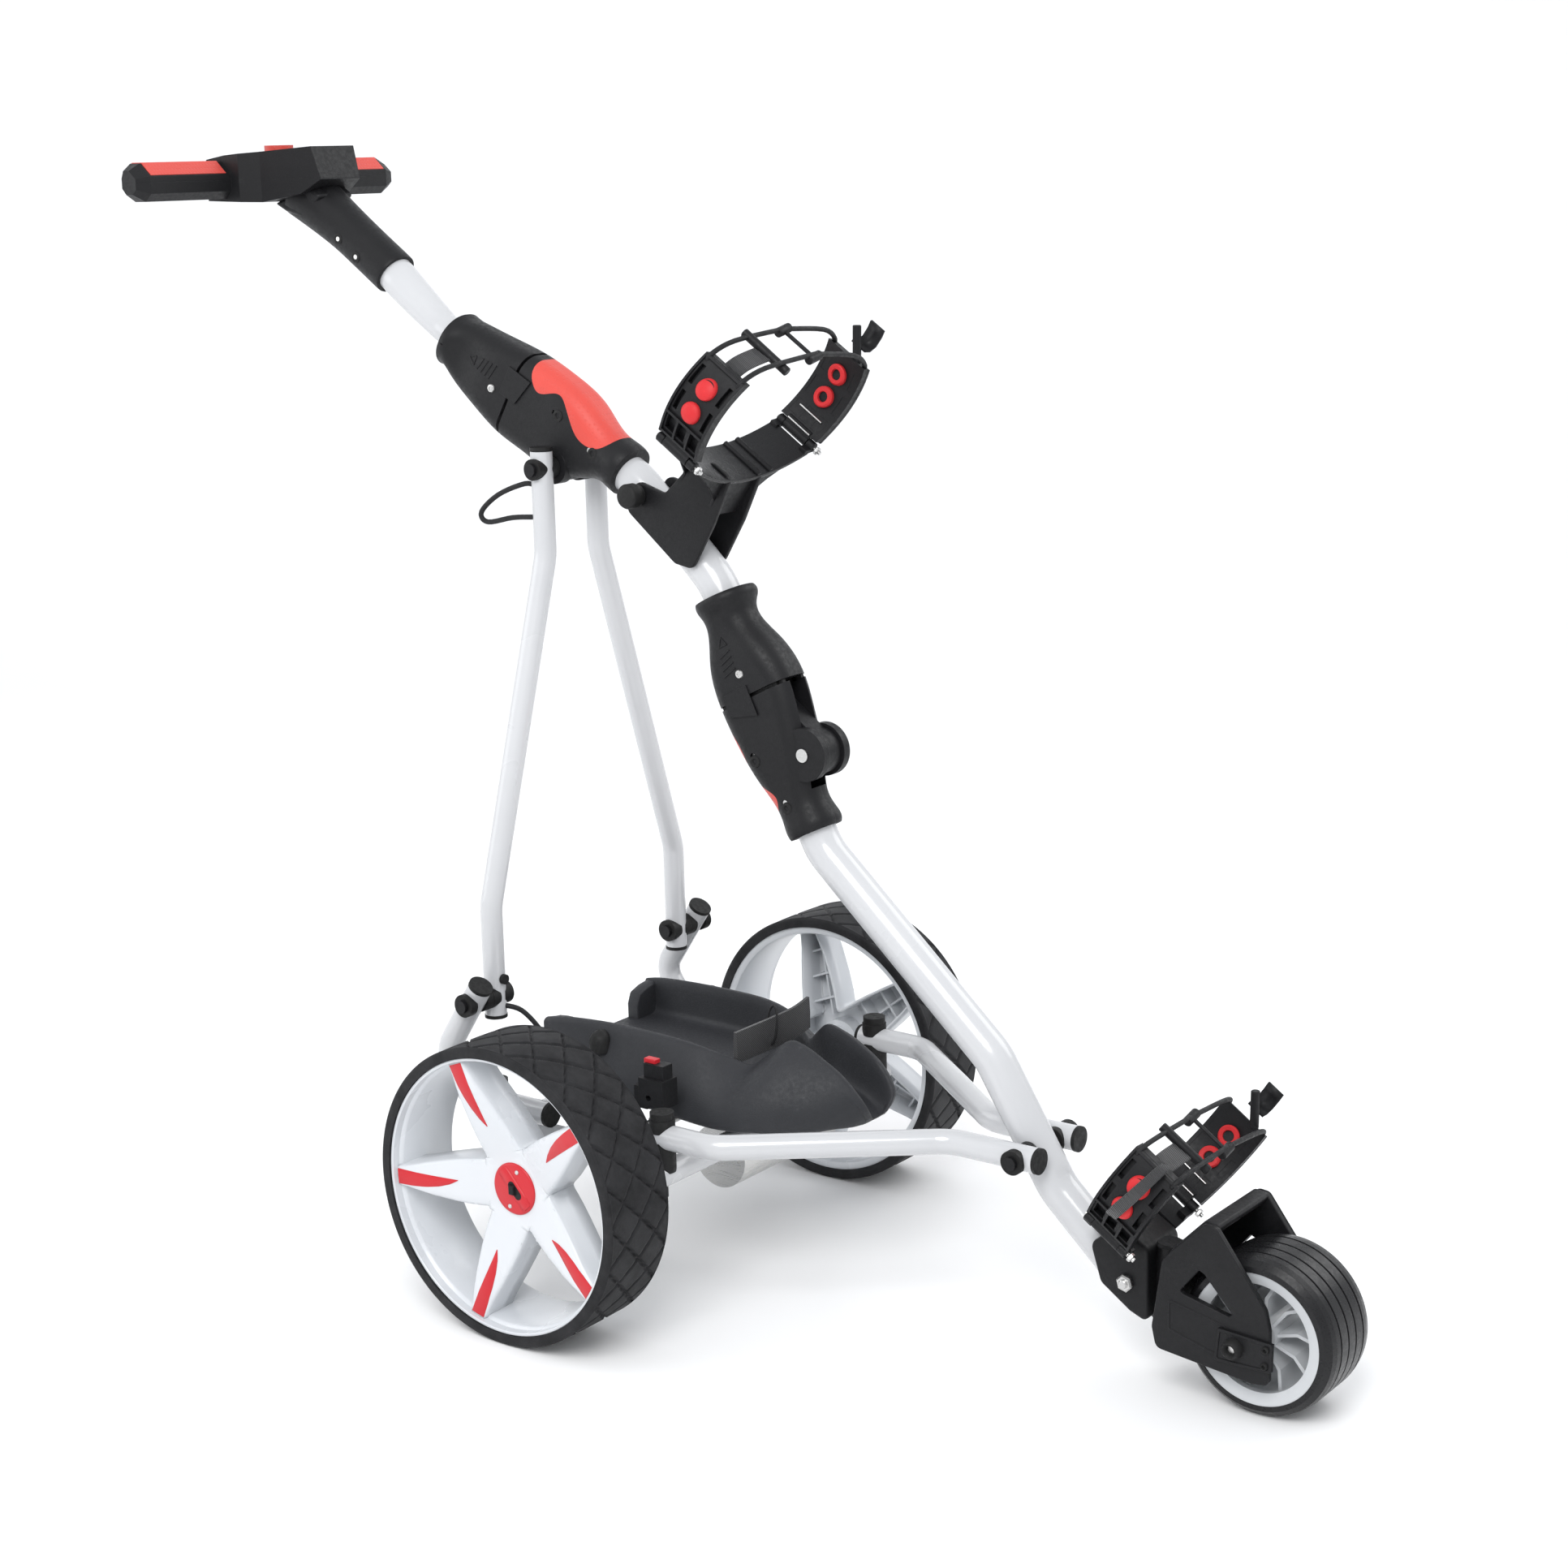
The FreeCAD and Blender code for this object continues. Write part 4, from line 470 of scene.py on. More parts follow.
def rim_star(word, wheel):
    """Dished five-spoke face, as a shell that is open at the back."""
    rows = []
    faces = []
    radii = [34, 35.5, 38, 41, 44, 50, 56, 63, 70, 78, 86, 94, 101, 108, 114, 120, 126, 131]
    for spoke in range(SPOKES):
        hub_rows = [spoke_row(wheel, r, spoke, True) for r in (9, 16, 24.5, 26, 28, 31, 34)]
        arm_rows = []
        for radius in radii:
            row = spoke_row(wheel, radius, spoke, False)
            half = between(SPOKE_HALF_WIDTH, radius)
            base = between(FACE_DEPTH, radius)
            for depth in (8.0, 20.0, SPOKE_WALL):
                taper = 1.0 + 0.0012 * depth
                row.insert(0, wheel_point(wheel, radius, -half * taper, base + depth, spoke))
                row.append(wheel_point(wheel, radius, half * taper, base + depth, spoke))
            arm_rows.append(row)
        for block in (hub_rows, arm_rows):
            start = len(rows)
            rows_points, rows_faces = ring_faces(block, around=False, caps=False)
            rows.extend(rows_points)
            faces.extend(tuple(v + start for v in face) for face in rows_faces)
    star = add_piece("rim_star_" + word, rows, faces, WHITE_RIM, "%s_wheel" % word, 50)
    solidify(star, SPOKE_SHELL)


def rim_barrel(word, wheel):
    centre, lip, side = wheel
    profile = [(134, 0.6), (133.4, 0), (131.6, 0), (131, 0.6), (130.6, 8), (128.4, 10), (127.6, 12),
               (126.4, 40), (125.6, 73), (127, 76.5), (129, 77.5), (134, 77.5)]
    profile = [(r, -depth) for r, depth in profile]
    barrel = lathe("rim_barrel_" + word, profile, (centre.x, side * lip, centre.z), WHITE_RIM,
                   "%s_wheel" % word, side, 160)
    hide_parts("rear_rim_" + word)
    lathe("rim_hub_" + word, [(6.3, -30), (24, -30), (24, -48), (19, -50), (17, -55), (6.3, -56)],
          (centre.x, side * lip, centre.z), WHITE_RIM, "%s_wheel" % word, side, 64)


def rim_ribs(word, wheel):
    """Moulded ribs in the hollow back of each spoke."""
    points = []
    faces = []

    def wall(start, finish, low, high, spoke, thick=1.1):
        (r0, l0), (r1, l1) = start, finish
        length = math.hypot(r1 - r0, l1 - l0)
        nr, nl = -(l1 - l0) / length * thick, (r1 - r0) / length * thick
        first = len(points)
        for r, l in ((r0 + nr, l0 + nl), (r1 + nr, l1 + nl), (r1 - nr, l1 - nl), (r0 - nr, l0 - nl)):
            base = between(FACE_DEPTH, math.hypot(r, l))
            points.append(wheel_point(wheel, r, l, base + low, spoke))
            points.append(wheel_point(wheel, r, l, base + high, spoke))
        faces.extend([(first, first + 2, first + 3, first + 1), (first + 2, first + 4, first + 5, first + 3),
                      (first + 4, first + 6, first + 7, first + 5), (first + 6, first, first + 1, first + 7),
                      (first, first + 6, first + 4, first + 2), (first + 1, first + 3, first + 5, first + 7)])

    for spoke in range(SPOKES):
        wall((30, 0), (128, 0), 2, 16, spoke)
        for radius in (48, 74, 100):
            half = between(SPOKE_HALF_WIDTH, radius) - 1
            wall((radius, -half), (radius, half), 2, 20, spoke)
    add_piece("rim_ribs_" + word, points, faces, WHITE_RIM, "%s_wheel" % word, 30)


INSERT_SECTION = ((0, -1.6), (0, 0.25), (0.06, 0.6), (0.5, 0.75), (0.94, 0.6), (1, 0.25), (1, -1.6))
INSERT_EDGE_A = ((64, 1.2), (72, 1.9), (90, 3.6), (110, 5.6), (129, 7.4))
INSERT_EDGE_B = ((64, 0.6), (72, -3.4), (84, -6.6), (98, -8.2), (114, -8.4), (129, -7.8))


def rim_inserts(word, wheel):
    """Claw-shaped inserts that stand slightly proud of the spokes."""
    side = wheel[2]
    points = []
    faces = []
    for spoke in range(SPOKES):
        rows = []
        for step in range(23):
            radius = 64 + 65 * step / 22
            near = side * between(INSERT_EDGE_A, radius)
            far = side * between(INSERT_EDGE_B, radius)
            row = []
            for share, lift in INSERT_SECTION:
                lateral = near + (far - near) * share
                depth = between(FACE_DEPTH, radius) - lift
                row.append(wheel_point(wheel, radius, -side * lateral, depth, spoke))
            rows.append(row)
        first = len(points)
        row_points, row_faces = ring_faces(rows, around=True, caps=True)
        points.extend(row_points)
        faces.extend(tuple(v + first for v in face) for face in row_faces)
    add_piece("rim_inserts_" + word, points, faces, RED_TRIM, "%s_wheel" % word, 50)


def hub_cap(word, wheel):
    """Round cap with a raised diagonal band, two screws and a keyhole with its latch."""
    centre, lip, side = wheel
    body = "%s_wheel" % word
    place = (centre.x, side * (lip - HUB_FACE_INSET), centre.z)
    profile = [(0.0, 2.2), (22.8, 2.2), (24.6, 1.6), (25.4, 0.6), (25.4, -1.0), (0.0, -1.0)]
    cap = lathe("hub_cap_" + word, profile, place, RED_TRIM, body, side, 72)
    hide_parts("wheel_trim_" + word)
    tilt = math.radians(-48 if side == RIGHT else 228)

    def on_cap(along, across, out):
        x = along * math.cos(tilt) - across * math.sin(tilt)
        z = along * math.sin(tilt) + across * math.cos(tilt)
        return (place[0] + x, place[1] + side * out, place[2] + z)

    band_rows = []
    for along in (-22.6, -21, -10, 0, 10, 21, 22.6):
        half = min(7.0, math.sqrt(max(0.0, CAP_RADIUS ** 2 - along ** 2)))
        band_rows.append([on_cap(along, s * half + 1.5, out) for s, out in
                          ((-1, 2.0), (-0.8, 3.4), (0.8, 3.4), (1, 2.0), (1, 1.0), (-1, 1.0))])
    add_skin("hub_band_" + word, band_rows, RED_TRIM, body, 50)
    for index, along in enumerate((-17.5, 17.5)):
        spot = on_cap(along * 0.55, -along * 0.9, 2.2)
        screw = [(0, 0.8), (1.8, 0.8), (2.3, 0.2), (2.3, -0.6), (0, -0.6)]
        lathe("hub_screw_%s_%d" % (word, index + 1), screw, spot, STEEL, body, side, 24)
    slot_points = [(x + (KEYHOLE_REACH if x > 0 else -KEYHOLE_REACH), z) for x, z in round_section(4.4, 24)]
    rings = [[on_cap(a + 2, b + 1.5, out) for a, b in slot_points] for out in (3.0, 3.46)]
    add_skin("hub_keyhole_" + word, rings, RUBBER, body, 50)


def wheel_latches():
    for side, word in HANDS:
        node = "wheel_latch_" + word
        low, high = box_in_mm(node)
        rings = []
        for inset, y_share in ((0.0, 0.0), (0.0, 0.62), (0.9, 1.0)):
            y = low.y + (high.y - low.y) * y_share if side == LEFT else high.y - (high.y - low.y) * y_share
            rings.append([(low.x + inset, y, low.z + inset), (high.x - inset, y, low.z + inset),
                          (high.x - inset, y, high.z - inset), (low.x + inset, y, high.z - inset)])
        latch = add_skin("latch_" + word, rings, BLACK, "%s_latch" % word, 30)
        bevel(latch, 0.5)
        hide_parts(node)


TREAD_LENGTH = 911.0
TREAD_CELLS = 22
TREAD_DEPTH = 2.0
GROOVE_HALF = 1.15
GROOVE_FLANK = 0.7
GROOVE_SLANT = 0.80


def tread_groove(turn, across):
    """How deep the tread is cut at a place: turn is 0 to 1 around, across is -1 to 1."""
    depth = 0.0
    cell = TREAD_LENGTH / TREAD_CELLS
    for slant in (1, -1):
        phase = turn * TREAD_CELLS + slant * across
        distance = abs(phase - round(phase)) * cell * GROOVE_SLANT
        depth = max(depth, min(1.0, max(0.0, (GROOVE_HALF + GROOVE_FLANK - distance) / GROOVE_FLANK)))
    return depth


def rear_tyre(word, side):
    """Band tyre with a smooth sidewall and a criss-cross tread."""
    node = "rear_tyre_" + word
    centre = middle_of(node)
    radius = half_size(node).x
    half = half_size(node).y
    around = 640
    rings = []
    profile = [(134.1, -1.0), (138, -1.0), (141.5, -1.0), (143.4, -0.985), (144.5, -0.955)]
    tread = [(-0.93 + 1.86 * i / 46) for i in range(47)]
    for step in range(around):
        turn = step / around
        angle = 2 * math.pi * turn
        row = [(r, share * half) for r, share in profile]
        for share in tread:
            crown = radius - abs(share) ** 3
            row.append((crown - TREAD_DEPTH * tread_groove(turn, share), share * half))
        row += [(r, -share * half) for r, share in reversed(profile)]
        rings.append([(centre.x + r * math.cos(angle), centre.y + y, centre.z + r * math.sin(angle))
                      for r, y in row])
    points, faces = ring_faces(rings + rings[:1], around=True, caps=False)
    tyre = add_piece("tyre_" + word, points, faces, TYRE, "%s_wheel" % word, 60)
    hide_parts(node)


def rear_wheels():
    for side, word in HANDS:
        rim_low, rim_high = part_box("rear_rim_" + word)
        lip = max(abs(rim_low.y), abs(rim_high.y)) / MM
        wheel = (middle_of("rear_tyre_" + word), lip, side)
        rim_star(word, wheel)
        rim_barrel(word, wheel)
        rim_ribs(word, wheel)
        rim_inserts(word, wheel)
        hub_cap(word, wheel)
        rear_tyre(word, side)
    wheel_latches()


rear_wheels()


# ---- places on the trolley ----------------------------------------------------------
AXLE_X = middle_of("axle_shaft").x


class Slope:
    """Axes that start at a point ahead of the rear axle and fall forward at a slope."""

    def __init__(self, ahead, up, slope):
        self.start = (AXLE_X + ahead, up)
        self.slope = math.radians(slope)

    def at(self, along, across, out):
        c = math.cos(self.slope)
        s = math.sin(self.slope)
        return (self.start[0] + along * c + out * s, across, self.start[1] - along * s + out * c)


UPPER_JOINT = Slope(-274.7, 907.7, 30)
LOWER_JOINT = Slope(55.0, 671.0, 64)


def turned_on(name, profile, at, material, body, steps=40):
    """Turn a profile of (radius, height) on a surface described by at(a, b, height)."""
    rings = []
    for step in range(steps):
        angle = 2 * math.pi * step / steps
        rings.append([at(r * math.cos(angle), r * math.sin(angle), out) for r, out in profile])
    points, faces = ring_faces(rings + rings[:1], caps=False)
    return add_piece(name, points, faces, material, body)


def bar_on(name, start, finish, radius, material, body, steps=20):
    """Straight round bar with softened ends."""
    a = Vector(start)
    b = Vector(finish)
    ahead = (b - a).normalized()
    side = ahead.orthogonal().normalized()
    top = ahead.cross(side)
    soft = 0.18 * radius
    rings = []
    for place, r in ((a, radius - soft), (a + ahead * soft, radius),
                     (b - ahead * soft, radius), (b, radius - soft)):
        rings.append([tuple(place + side * r * x + top * r * y) for x, y in round_section(1.0, steps)])
    return add_skin(name, rings, material, body)


def block_on(name, outline, low, high, at, material, body, edge=0.8):
    """Plate with an outline of (a, b) between two heights."""
    rings = [[at(a, b, out) for a, b in outline] for out in (low, high)]
    return bevel(add_skin(name, rings, material, body, 30), edge, 2)


def cord(name, points, radius, material, body):
    """Round cord that curves smoothly through its points."""
    return sweep(name, curve_through(points, 5), round_section(radius, 12), material, body, 2)


# ---- bag cradles --------------------------------------------------------------------
ARM_LENGTH = 92.0
ARM_FOOT = 6.0
ARM_BOW = 12.0
BUTTON_HEIGHTS = (42.0, 68.0)
CORD_RADIUS = 2.4
CABLE_RADIUS = 2.6


class Cradle:
    """One bag cradle: where its arms are hinged and how far they lean."""

    def __init__(self, word, ahead, up, half, leans, base):
        self.word = word
        self.axes = Slope(ahead, up, 35)
        self.half = half
        self.leans = leans
        self.base = base

    def arm(self, side, along, off, height):
        """Point on an arm: along its width, off its middle skin, and up from its hinge."""
        lean = math.radians(self.leans[0 if side == RIGHT else 1])
        half = (ARM_LENGTH - ARM_FOOT) / 2
        share = (height - ARM_FOOT - half) / half
        out = ARM_BOW * (1 - share * share) + off if abs(share) <= 1 else off
        across = out * math.cos(lean) + (height + 1) * math.sin(lean) + self.half - 4
        return self.axes.at(along, side * across, -1 - out * math.sin(lean) + (height + 1) * math.cos(lean))

    def body(self, side):
        return "%s_%s_arm" % (self.word, "right" if side == RIGHT else "left")


UPPER_CRADLE = Cradle("upper", 100, 805, 95, (-8, 9), "middle")
LOWER_CRADLE = Cradle("lower", 537, 134, 66, (0, 28), "lower")


def arm_buttons(cradle):
    """Soft domed buttons outside each arm and their rings inside."""
    for side, word in HANDS:
        for index, height in enumerate(BUTTON_HEIGHTS):
            def outside(a, b, out, side=side, height=height):
                return cradle.arm(side, -25 + a, out, height + b)

            name = "%s_button_%s_%d" % (cradle.word, word, index + 1)
            dome = [(0, 9.6), (4, 9.4), (7.5, 8.7), (9.6, 7.4), (10.3, 5.6), (10.3, 3.8), (0, 3.8)]
            turned_on(name, dome, outside, RED_SOFT_PLAIN, cradle.body(side))
            ring = [(5.0, -6.2), (5.4, -8.4), (8.8, -8.6), (10.2, -7.2), (10.4, -3.9), (5.0, -3.9)]
            turned_on(name + "_ring", ring, outside, RED_SOFT_PLAIN, cradle.body(side))


def arm_frame(cradle):
    """Raised border and cross bars outside each arm."""
    for side, word in HANDS:
        lines = [((-49, 5), (-49, 92)), ((-1, 5), (-1, 92)), ((-49, 28), (-1, 28)),
                 ((-49, 90.5), (-1, 90.5)), ((-49, 7), (-1, 7)), ((-32, 7), (-32, 28)), ((-16, 7), (-16, 28))]
        for index, ((u0, h0), (u1, h1)) in enumerate(lines):
            rings = []
            for step in range(13):
                u = u0 + (u1 - u0) * step / 12
                h = h0 + (h1 - h0) * step / 12
                wide = (0, 1.2) if abs(u1 - u0) > abs(h1 - h0) else (1.2, 0)
                ring = []
                for sign, out in ((-1, 3.6), (-1, 6.6), (1, 6.6), (1, 3.6)):
                    ring.append(cradle.arm(side, u + sign * wide[0], out, h + sign * wide[1]))
                rings.append(ring)
            add_skin("%s_arm_rib_%s_%d" % (cradle.word, word, index + 1), rings, BLACK, cradle.body(side), 30)


def arm_backing(cradle):
    """Thin wall behind each arm's lattice."""
    for side, word in HANDS:
        rings = []
        for step in range(17):
            height = 10 + 78 * step / 16
            rings.append([cradle.arm(side, u, out, height) for u, out in
                          ((-48, -3.6), (-2, -3.6), (-2, -2.0), (-48, -2.0))])
        add_skin("%s_arm_wall_%s" % (cradle.word, word), rings, BLACK, cradle.body(side), 30)


def hinge_hardware(cradle):
    """Bright pin ends and nuts at the corners of each hinge."""
    for side, word in HANDS:
        low = cradle.arm(side, 2, 0, -1)
        high = cradle.arm(side, 6, 0, -1)
        bar_on("%s_hinge_nut_%s" % (cradle.word, word), low, high, 4.2, STEEL, cradle.base, 6)
        tip = cradle.arm(side, 8.5, 0, -1)
        bar_on("%s_hinge_end_%s" % (cradle.word, word), high, tip, 2.1, STEEL, cradle.base)
        for index, height in enumerate((7, 22)):
            a = cradle.arm(side, -40, -5, height)
            b = cradle.arm(side, -10, -5, height)
            bar_on("%s_arm_bar_%s_%d" % (cradle.word, word, index + 1), a, b, 1.0, STEEL,
                   cradle.body(side))


def elastic_cords(cradle, rise):
    """Two elastic cords from arm to arm, each in two halves that meet over the middle."""
    for index, along in enumerate((-46, -4)):
        near = Vector(cradle.arm(RIGHT, along, 2, ARM_LENGTH - 4))
        far = Vector(cradle.arm(LEFT, along, 0, ARM_LENGTH - 2))
        up = Vector((math.sin(cradle.axes.slope), 0, math.cos(cradle.axes.slope)))
        crown = (near + far) / 2 + up * rise + Vector((0, 0, 2 * index))
        near_rise = near + (crown - near) * 0.28 + up * rise * 0.42
        far_rise = far + (crown - far) * 0.30 + up * rise * 0.44
        for word, side, tip, path in (
                ("near", RIGHT, near, (near - up * 6, near + up * 4, near_rise, crown)),
                ("far", LEFT, far, (crown, far_rise, far + up * 4, far - up * 6))):
            half = cord("%s_cord_%s_%d" % (cradle.word, word, index + 1), [tuple(p) for p in path],
                        CORD_RADIUS, CORD, cradle.base)
            loose(half)
            cradle.body(side)
            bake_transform(half)


def loose(piece):
    """Take a piece off its body."""
    bpy.context.view_layer.update()
    place = piece.matrix_world.copy()
    piece.parent = None
    piece.matrix_world = place
    del piece["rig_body"]


def cord_fittings(cradle, rise):
    """Toggle bar, spreader with its two clips, and the hook on the far arm."""
    up = Vector((math.sin(cradle.axes.slope), 0, math.cos(cradle.axes.slope)))
    near = (Vector(cradle.arm(RIGHT, -46, 2, 86)) + Vector(cradle.arm(RIGHT, -4, 2, 86))) / 2
    far = (Vector(cradle.arm(LEFT, -46, 0, 88)) + Vector(cradle.arm(LEFT, -4, 0, 88))) / 2
    run = Vector(cradle.axes.at(1, 0, 0)) - Vector(cradle.axes.at(0, 0, 0))
    middle = (near + far) / 2 + up * rise
    toggle = near + (far - near) * 0.26 + up * rise * 0.80
    a = toggle - run * 26 + Vector((0, -4, 3))
    b = toggle + run * 26 + Vector((0, 4, -3))
    bar_on(cradle.word + "_toggle_bar", a, b, 4.4, BLACK, cradle.body(RIGHT))
    spread_a = middle - run * 21 + up * 0.5
    spread_b = middle + run * 21 + up * 0.5
    bar_on(cradle.word + "_spreader", spread_a, spread_b, 2.0, BLACK, cradle.base)
    for index, place in enumerate((spread_a, spread_b)):
        low = place - Vector((0, 9, 2))
        high = place + Vector((0, 9, 2))
        bar_on("%s_clip_%d" % (cradle.word, index + 1), low, high, 4.6, BLACK, cradle.base)
    tail = far + up * 10
    a = tail - run * 8 + up * 22
    b = tail + run * 12 - up * 8
    bar_on(cradle.word + "_hook_bar", a, b, 4.2, BLACK, cradle.body(LEFT))
    rows = []
    for y, z in ((4, -2), (14, -3), (19, 2), (20, 12), (18.5, 20)):
        rows.append([tuple((a + b) / 2 + run * along + Vector((0, y, 0)) + up * z) for along in (-9, 9)])
    points, faces = ring_faces(rows, around=False, caps=False)
    hook = add_piece(cradle.word + "_hook_plate", points, faces, BLACK, cradle.body(LEFT), 60)
    solidify(hook, 2.6, 0.0)
    strap_points = [near - up * 22 + Vector((0, 3, 0)), near - up * 8 + Vector((0, 5, 0)),
                    near + (toggle - near) * 0.4 + up, toggle - up]
    sweep(cradle.word + "_arm_strap", curve_through([tuple(p) for p in strap_points], 5),
          tape_section(19, 1.6), WEBBING, cradle.body(RIGHT), 2, tuple(up))


def cradles():
    for cradle, rise in ((UPPER_CRADLE, 24), (LOWER_CRADLE, 14)):
        arm_buttons(cradle)
        arm_frame(cradle)
        arm_backing(cradle)
        hinge_hardware(cradle)
        elastic_cords(cradle, rise)
        cord_fittings(cradle, rise)


cradles()


# ---- strap in the battery tray ------------------------------------------------------
def battery_strap():
    """Doubled webbing that stands on edge across the tray, tied with a thin cord."""
    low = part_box("tray_strap")[0] / MM
    base = low.z + 20
    path = [(94, -50, -4), (98, -30, -2), (104, -4, 1), (112, 20, 6), (117, 38, 13)]
    rings = []
    for x, y, lift in curve_through(path, 6):
        flat = []
        for out, z in ((-2.2, 0), (-2.4, 18), (-1.6, 34), (1.6, 34), (2.4, 18), (2.2, 0)):
            flat.append((AXLE_X + x + out, y, base + lift + 0.92 * z))
        rings.append(flat)
    strap = add_skin("battery_strap", rings, WEBBING, "chassis", 50)
    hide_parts("tray_strap")
    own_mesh(strap)
    tie = []
    for step in range(13):
        angle = 2 * math.pi * step / 12
        tie.append((AXLE_X + 104 + 6 * math.cos(angle), -4 + 3 * math.sin(angle),
                    base + 24 + 19 * math.sin(angle)))
    tied = cord("strap_tie", tie, 1.3, CORD, "chassis")
    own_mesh(tied)


battery_strap()


# ---- joint trim ---------------------------------------------------------------------
def skin_at(nodes, x, z, side):
    """Where a line along Y from one side first meets any of these CAD nodes, in millimetres."""
    hits = []
    for name in nodes:
        node = frame["nodes"][name]
        back = node.matrix_world.inverted()
        start = back @ Vector((x * MM, side * 0.4, z * MM))
        ahead = (back.to_3x3() @ Vector((0, -side, 0))).normalized()
        found, place = node.ray_cast(start, ahead)[:2]
        if found:
            hits.append((node.matrix_world @ place).y / MM)
    if not hits:
        return None
    return max(hits) if side == LEFT else min(hits)


def on_skin(axes, nodes, along, out, side):
    """Surface around a spot on a joint's side: at(a, b, height above the skin)."""
    centre = axes.at(along, 0, out)
    skin = skin_at(nodes, centre[0], centre[2], side)

    def at(a, b, height):
        x, _, z = axes.at(along + a, 0, out + b)
        return (x, skin + side * height, z)

    return at if skin is not None else None


BOLT_HEAD = [(0, 1.2), (2.0, 1.2), (2.2, 2.0), (3.6, 1.8), (4.4, 0.8), (4.5, -1.0), (0, -1.0)]
SCREW_CUP = [(0, -0.4), (2.2, -0.4), (3.0, 0.9), (4.2, 1.3), (5.6, 0.8), (6.3, -1.0), (0, -1.0)]


def joint_trim():
    """Silver bolts and recessed screws on the folding joints' sides."""
    joints = (("upper", UPPER_JOINT, "middle", (78.7, -8.3), ((160, 14), (213, 4))),
              ("lower", LOWER_JOINT, "lower", (78, 4), ((154, -19), (207, -6))))
    for word, axes, body, bolt, screws in joints:
        for side, hand in HANDS:
            near = on_skin(axes, [word + "_collar"], bolt[0], bolt[1], side)
            if near:
                turned_on("%s_collar_bolt_%s" % (word, hand), BOLT_HEAD, near, STEEL, word + "_collar", 24)
            for index, (along, out) in enumerate(screws):
                near = on_skin(axes, [word + "_housing"], along + 5.5, out, side)
                if near is None:
                    continue
                near = on_skin(axes, [word + "_housing", word + "_joint_grip"], along, out, side) or near
                turned_on("%s_screw_cup_%s_%d" % (word, hand, index + 1), SCREW_CUP, near, RUBBER, body, 28)
        collar_marks(word, axes)


def collar_marks(word, axes):
    """Moulded arrowhead and four bars that show which way the collar slides."""
    for side, hand in HANDS:
        flip = 1 if word == "upper" else -1
        strokes = [((38, 4), (47, -1)), ((47, -1), (47, 9)), ((47, 9), (38, 4))]
        strokes += [((53 + 6 * i, -2), (57 + 6 * i, 12 + i)) for i in range(4)]
        for index, (start, finish) in enumerate(strokes):
            ends = []
            for along, out in (start, finish):
                x, _, z = axes.at(along, 0, flip * out)
                y = skin_at([word + "_collar"], x, z, side)
                if y is not None:
                    ends.append((x, y, z))
            if len(ends) < 2:
                continue
            bar_on("%s_mark_%s_%d" % (word, hand, index + 1), ends[0], ends[1], 0.75, BLACK,
                   word + "_collar", 8)


def control_cable():
    """Black cable from the near stay's foot to the chassis."""
    points = [(AXLE_X + x, y, z) for x, y, z in
              ((-128, -139, 268), (-112, -128, 262), (-96, -118, 240), (-88, -112, 215), (-84, -108, 190))]
    cable = cord("control_cable", points, CABLE_RADIUS, CORD, "chassis")
    loose(cable)
    Vector(points[0]) * MM
    Vector(points[-1]) * MM
    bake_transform(cable)
    loop = [(AXLE_X + x, y, z) for x, y, z in
            ((-138, -44, 770), (-152, -46, 772), (-184, -50, 760), (-206, -52, 742), (-200, -50, 732),
             (-168, -48, 738), (-140, -46, 740))]
    cord("cable_loop", loop, CABLE_RADIUS, CORD, "stays")


# ---- console, connector and front fork ----------------------------------------------
STEM_SIDE = 23.0


def console_details():
    """Moulded root under the console and two recessed screws in the stem."""
    outline = [(-508, 1042), (-452, 1060), (-436, 1050), (-462, 1026), (-492, 1034)]
    rings = []
    for y in (-25, -20, 20, 25):
        shrink = 0.86 if abs(y) == 25 else 1.0
        rings.append([(AXLE_X - 470 + (x + 470) * shrink, y, 1043 + (z - 1043) * shrink) for x, z in outline])
    bevel(add_skin("console_root", rings, BLACK, "handle", 30), 2.5, 3)
    for index, (x, z) in enumerate(((-416, 1006), (-392, 988))):
        def at(a, b, height, x=AXLE_X + x, z=z):
            return (x + a, -STEM_SIDE - height, z + b)

        turned_on("stem_cup_%d" % (index + 1), SCREW_CUP, at, RUBBER, "handle", 28)
        turned_on("stem_screw_%d" % (index + 1), [(0, 0.6), (2.4, 0.6), (2.9, 0), (2.9, -1), (0, -1)], at,
                  STEEL, "handle", 20)


def connector_plug():
    """Red half of the battery plug, on top of its black socket."""
    low, high = box_in_mm("battery_connector")
    x, y = (low.x + high.x) / 2 + 2, (low.y + high.y) / 2
    rings = [[(x - 7, y + s, high.z - 3), (x + 7, y + s, high.z - 3), (x + 7, y + s, high.z + 4),
              (x - 7, y + s, high.z + 4)] for s in (-4, 4)]
    bevel(add_skin("battery_plug_red", rings, RED_TRIM, "chassis", 30), 0.8)


def rounded_outline(corners, radius):
    """Closed outline of (x, z) with an arc at each corner."""
    points = []
    for i, corner in enumerate(corners):
        before = corners[i - 1]
        after = corners[(i + 1) % len(corners)]
        start = [(p + q) / 2 for p, q in zip(before, corner)]
        finish = [(p + q) / 2 for p, q in zip(corner, after)]
        path = sweep_path([(*start, 0), (*corner, 0), (*finish, 0)], radius, 5)
        points.extend((p.x, p.y) for p in path[1:-1])
    return points


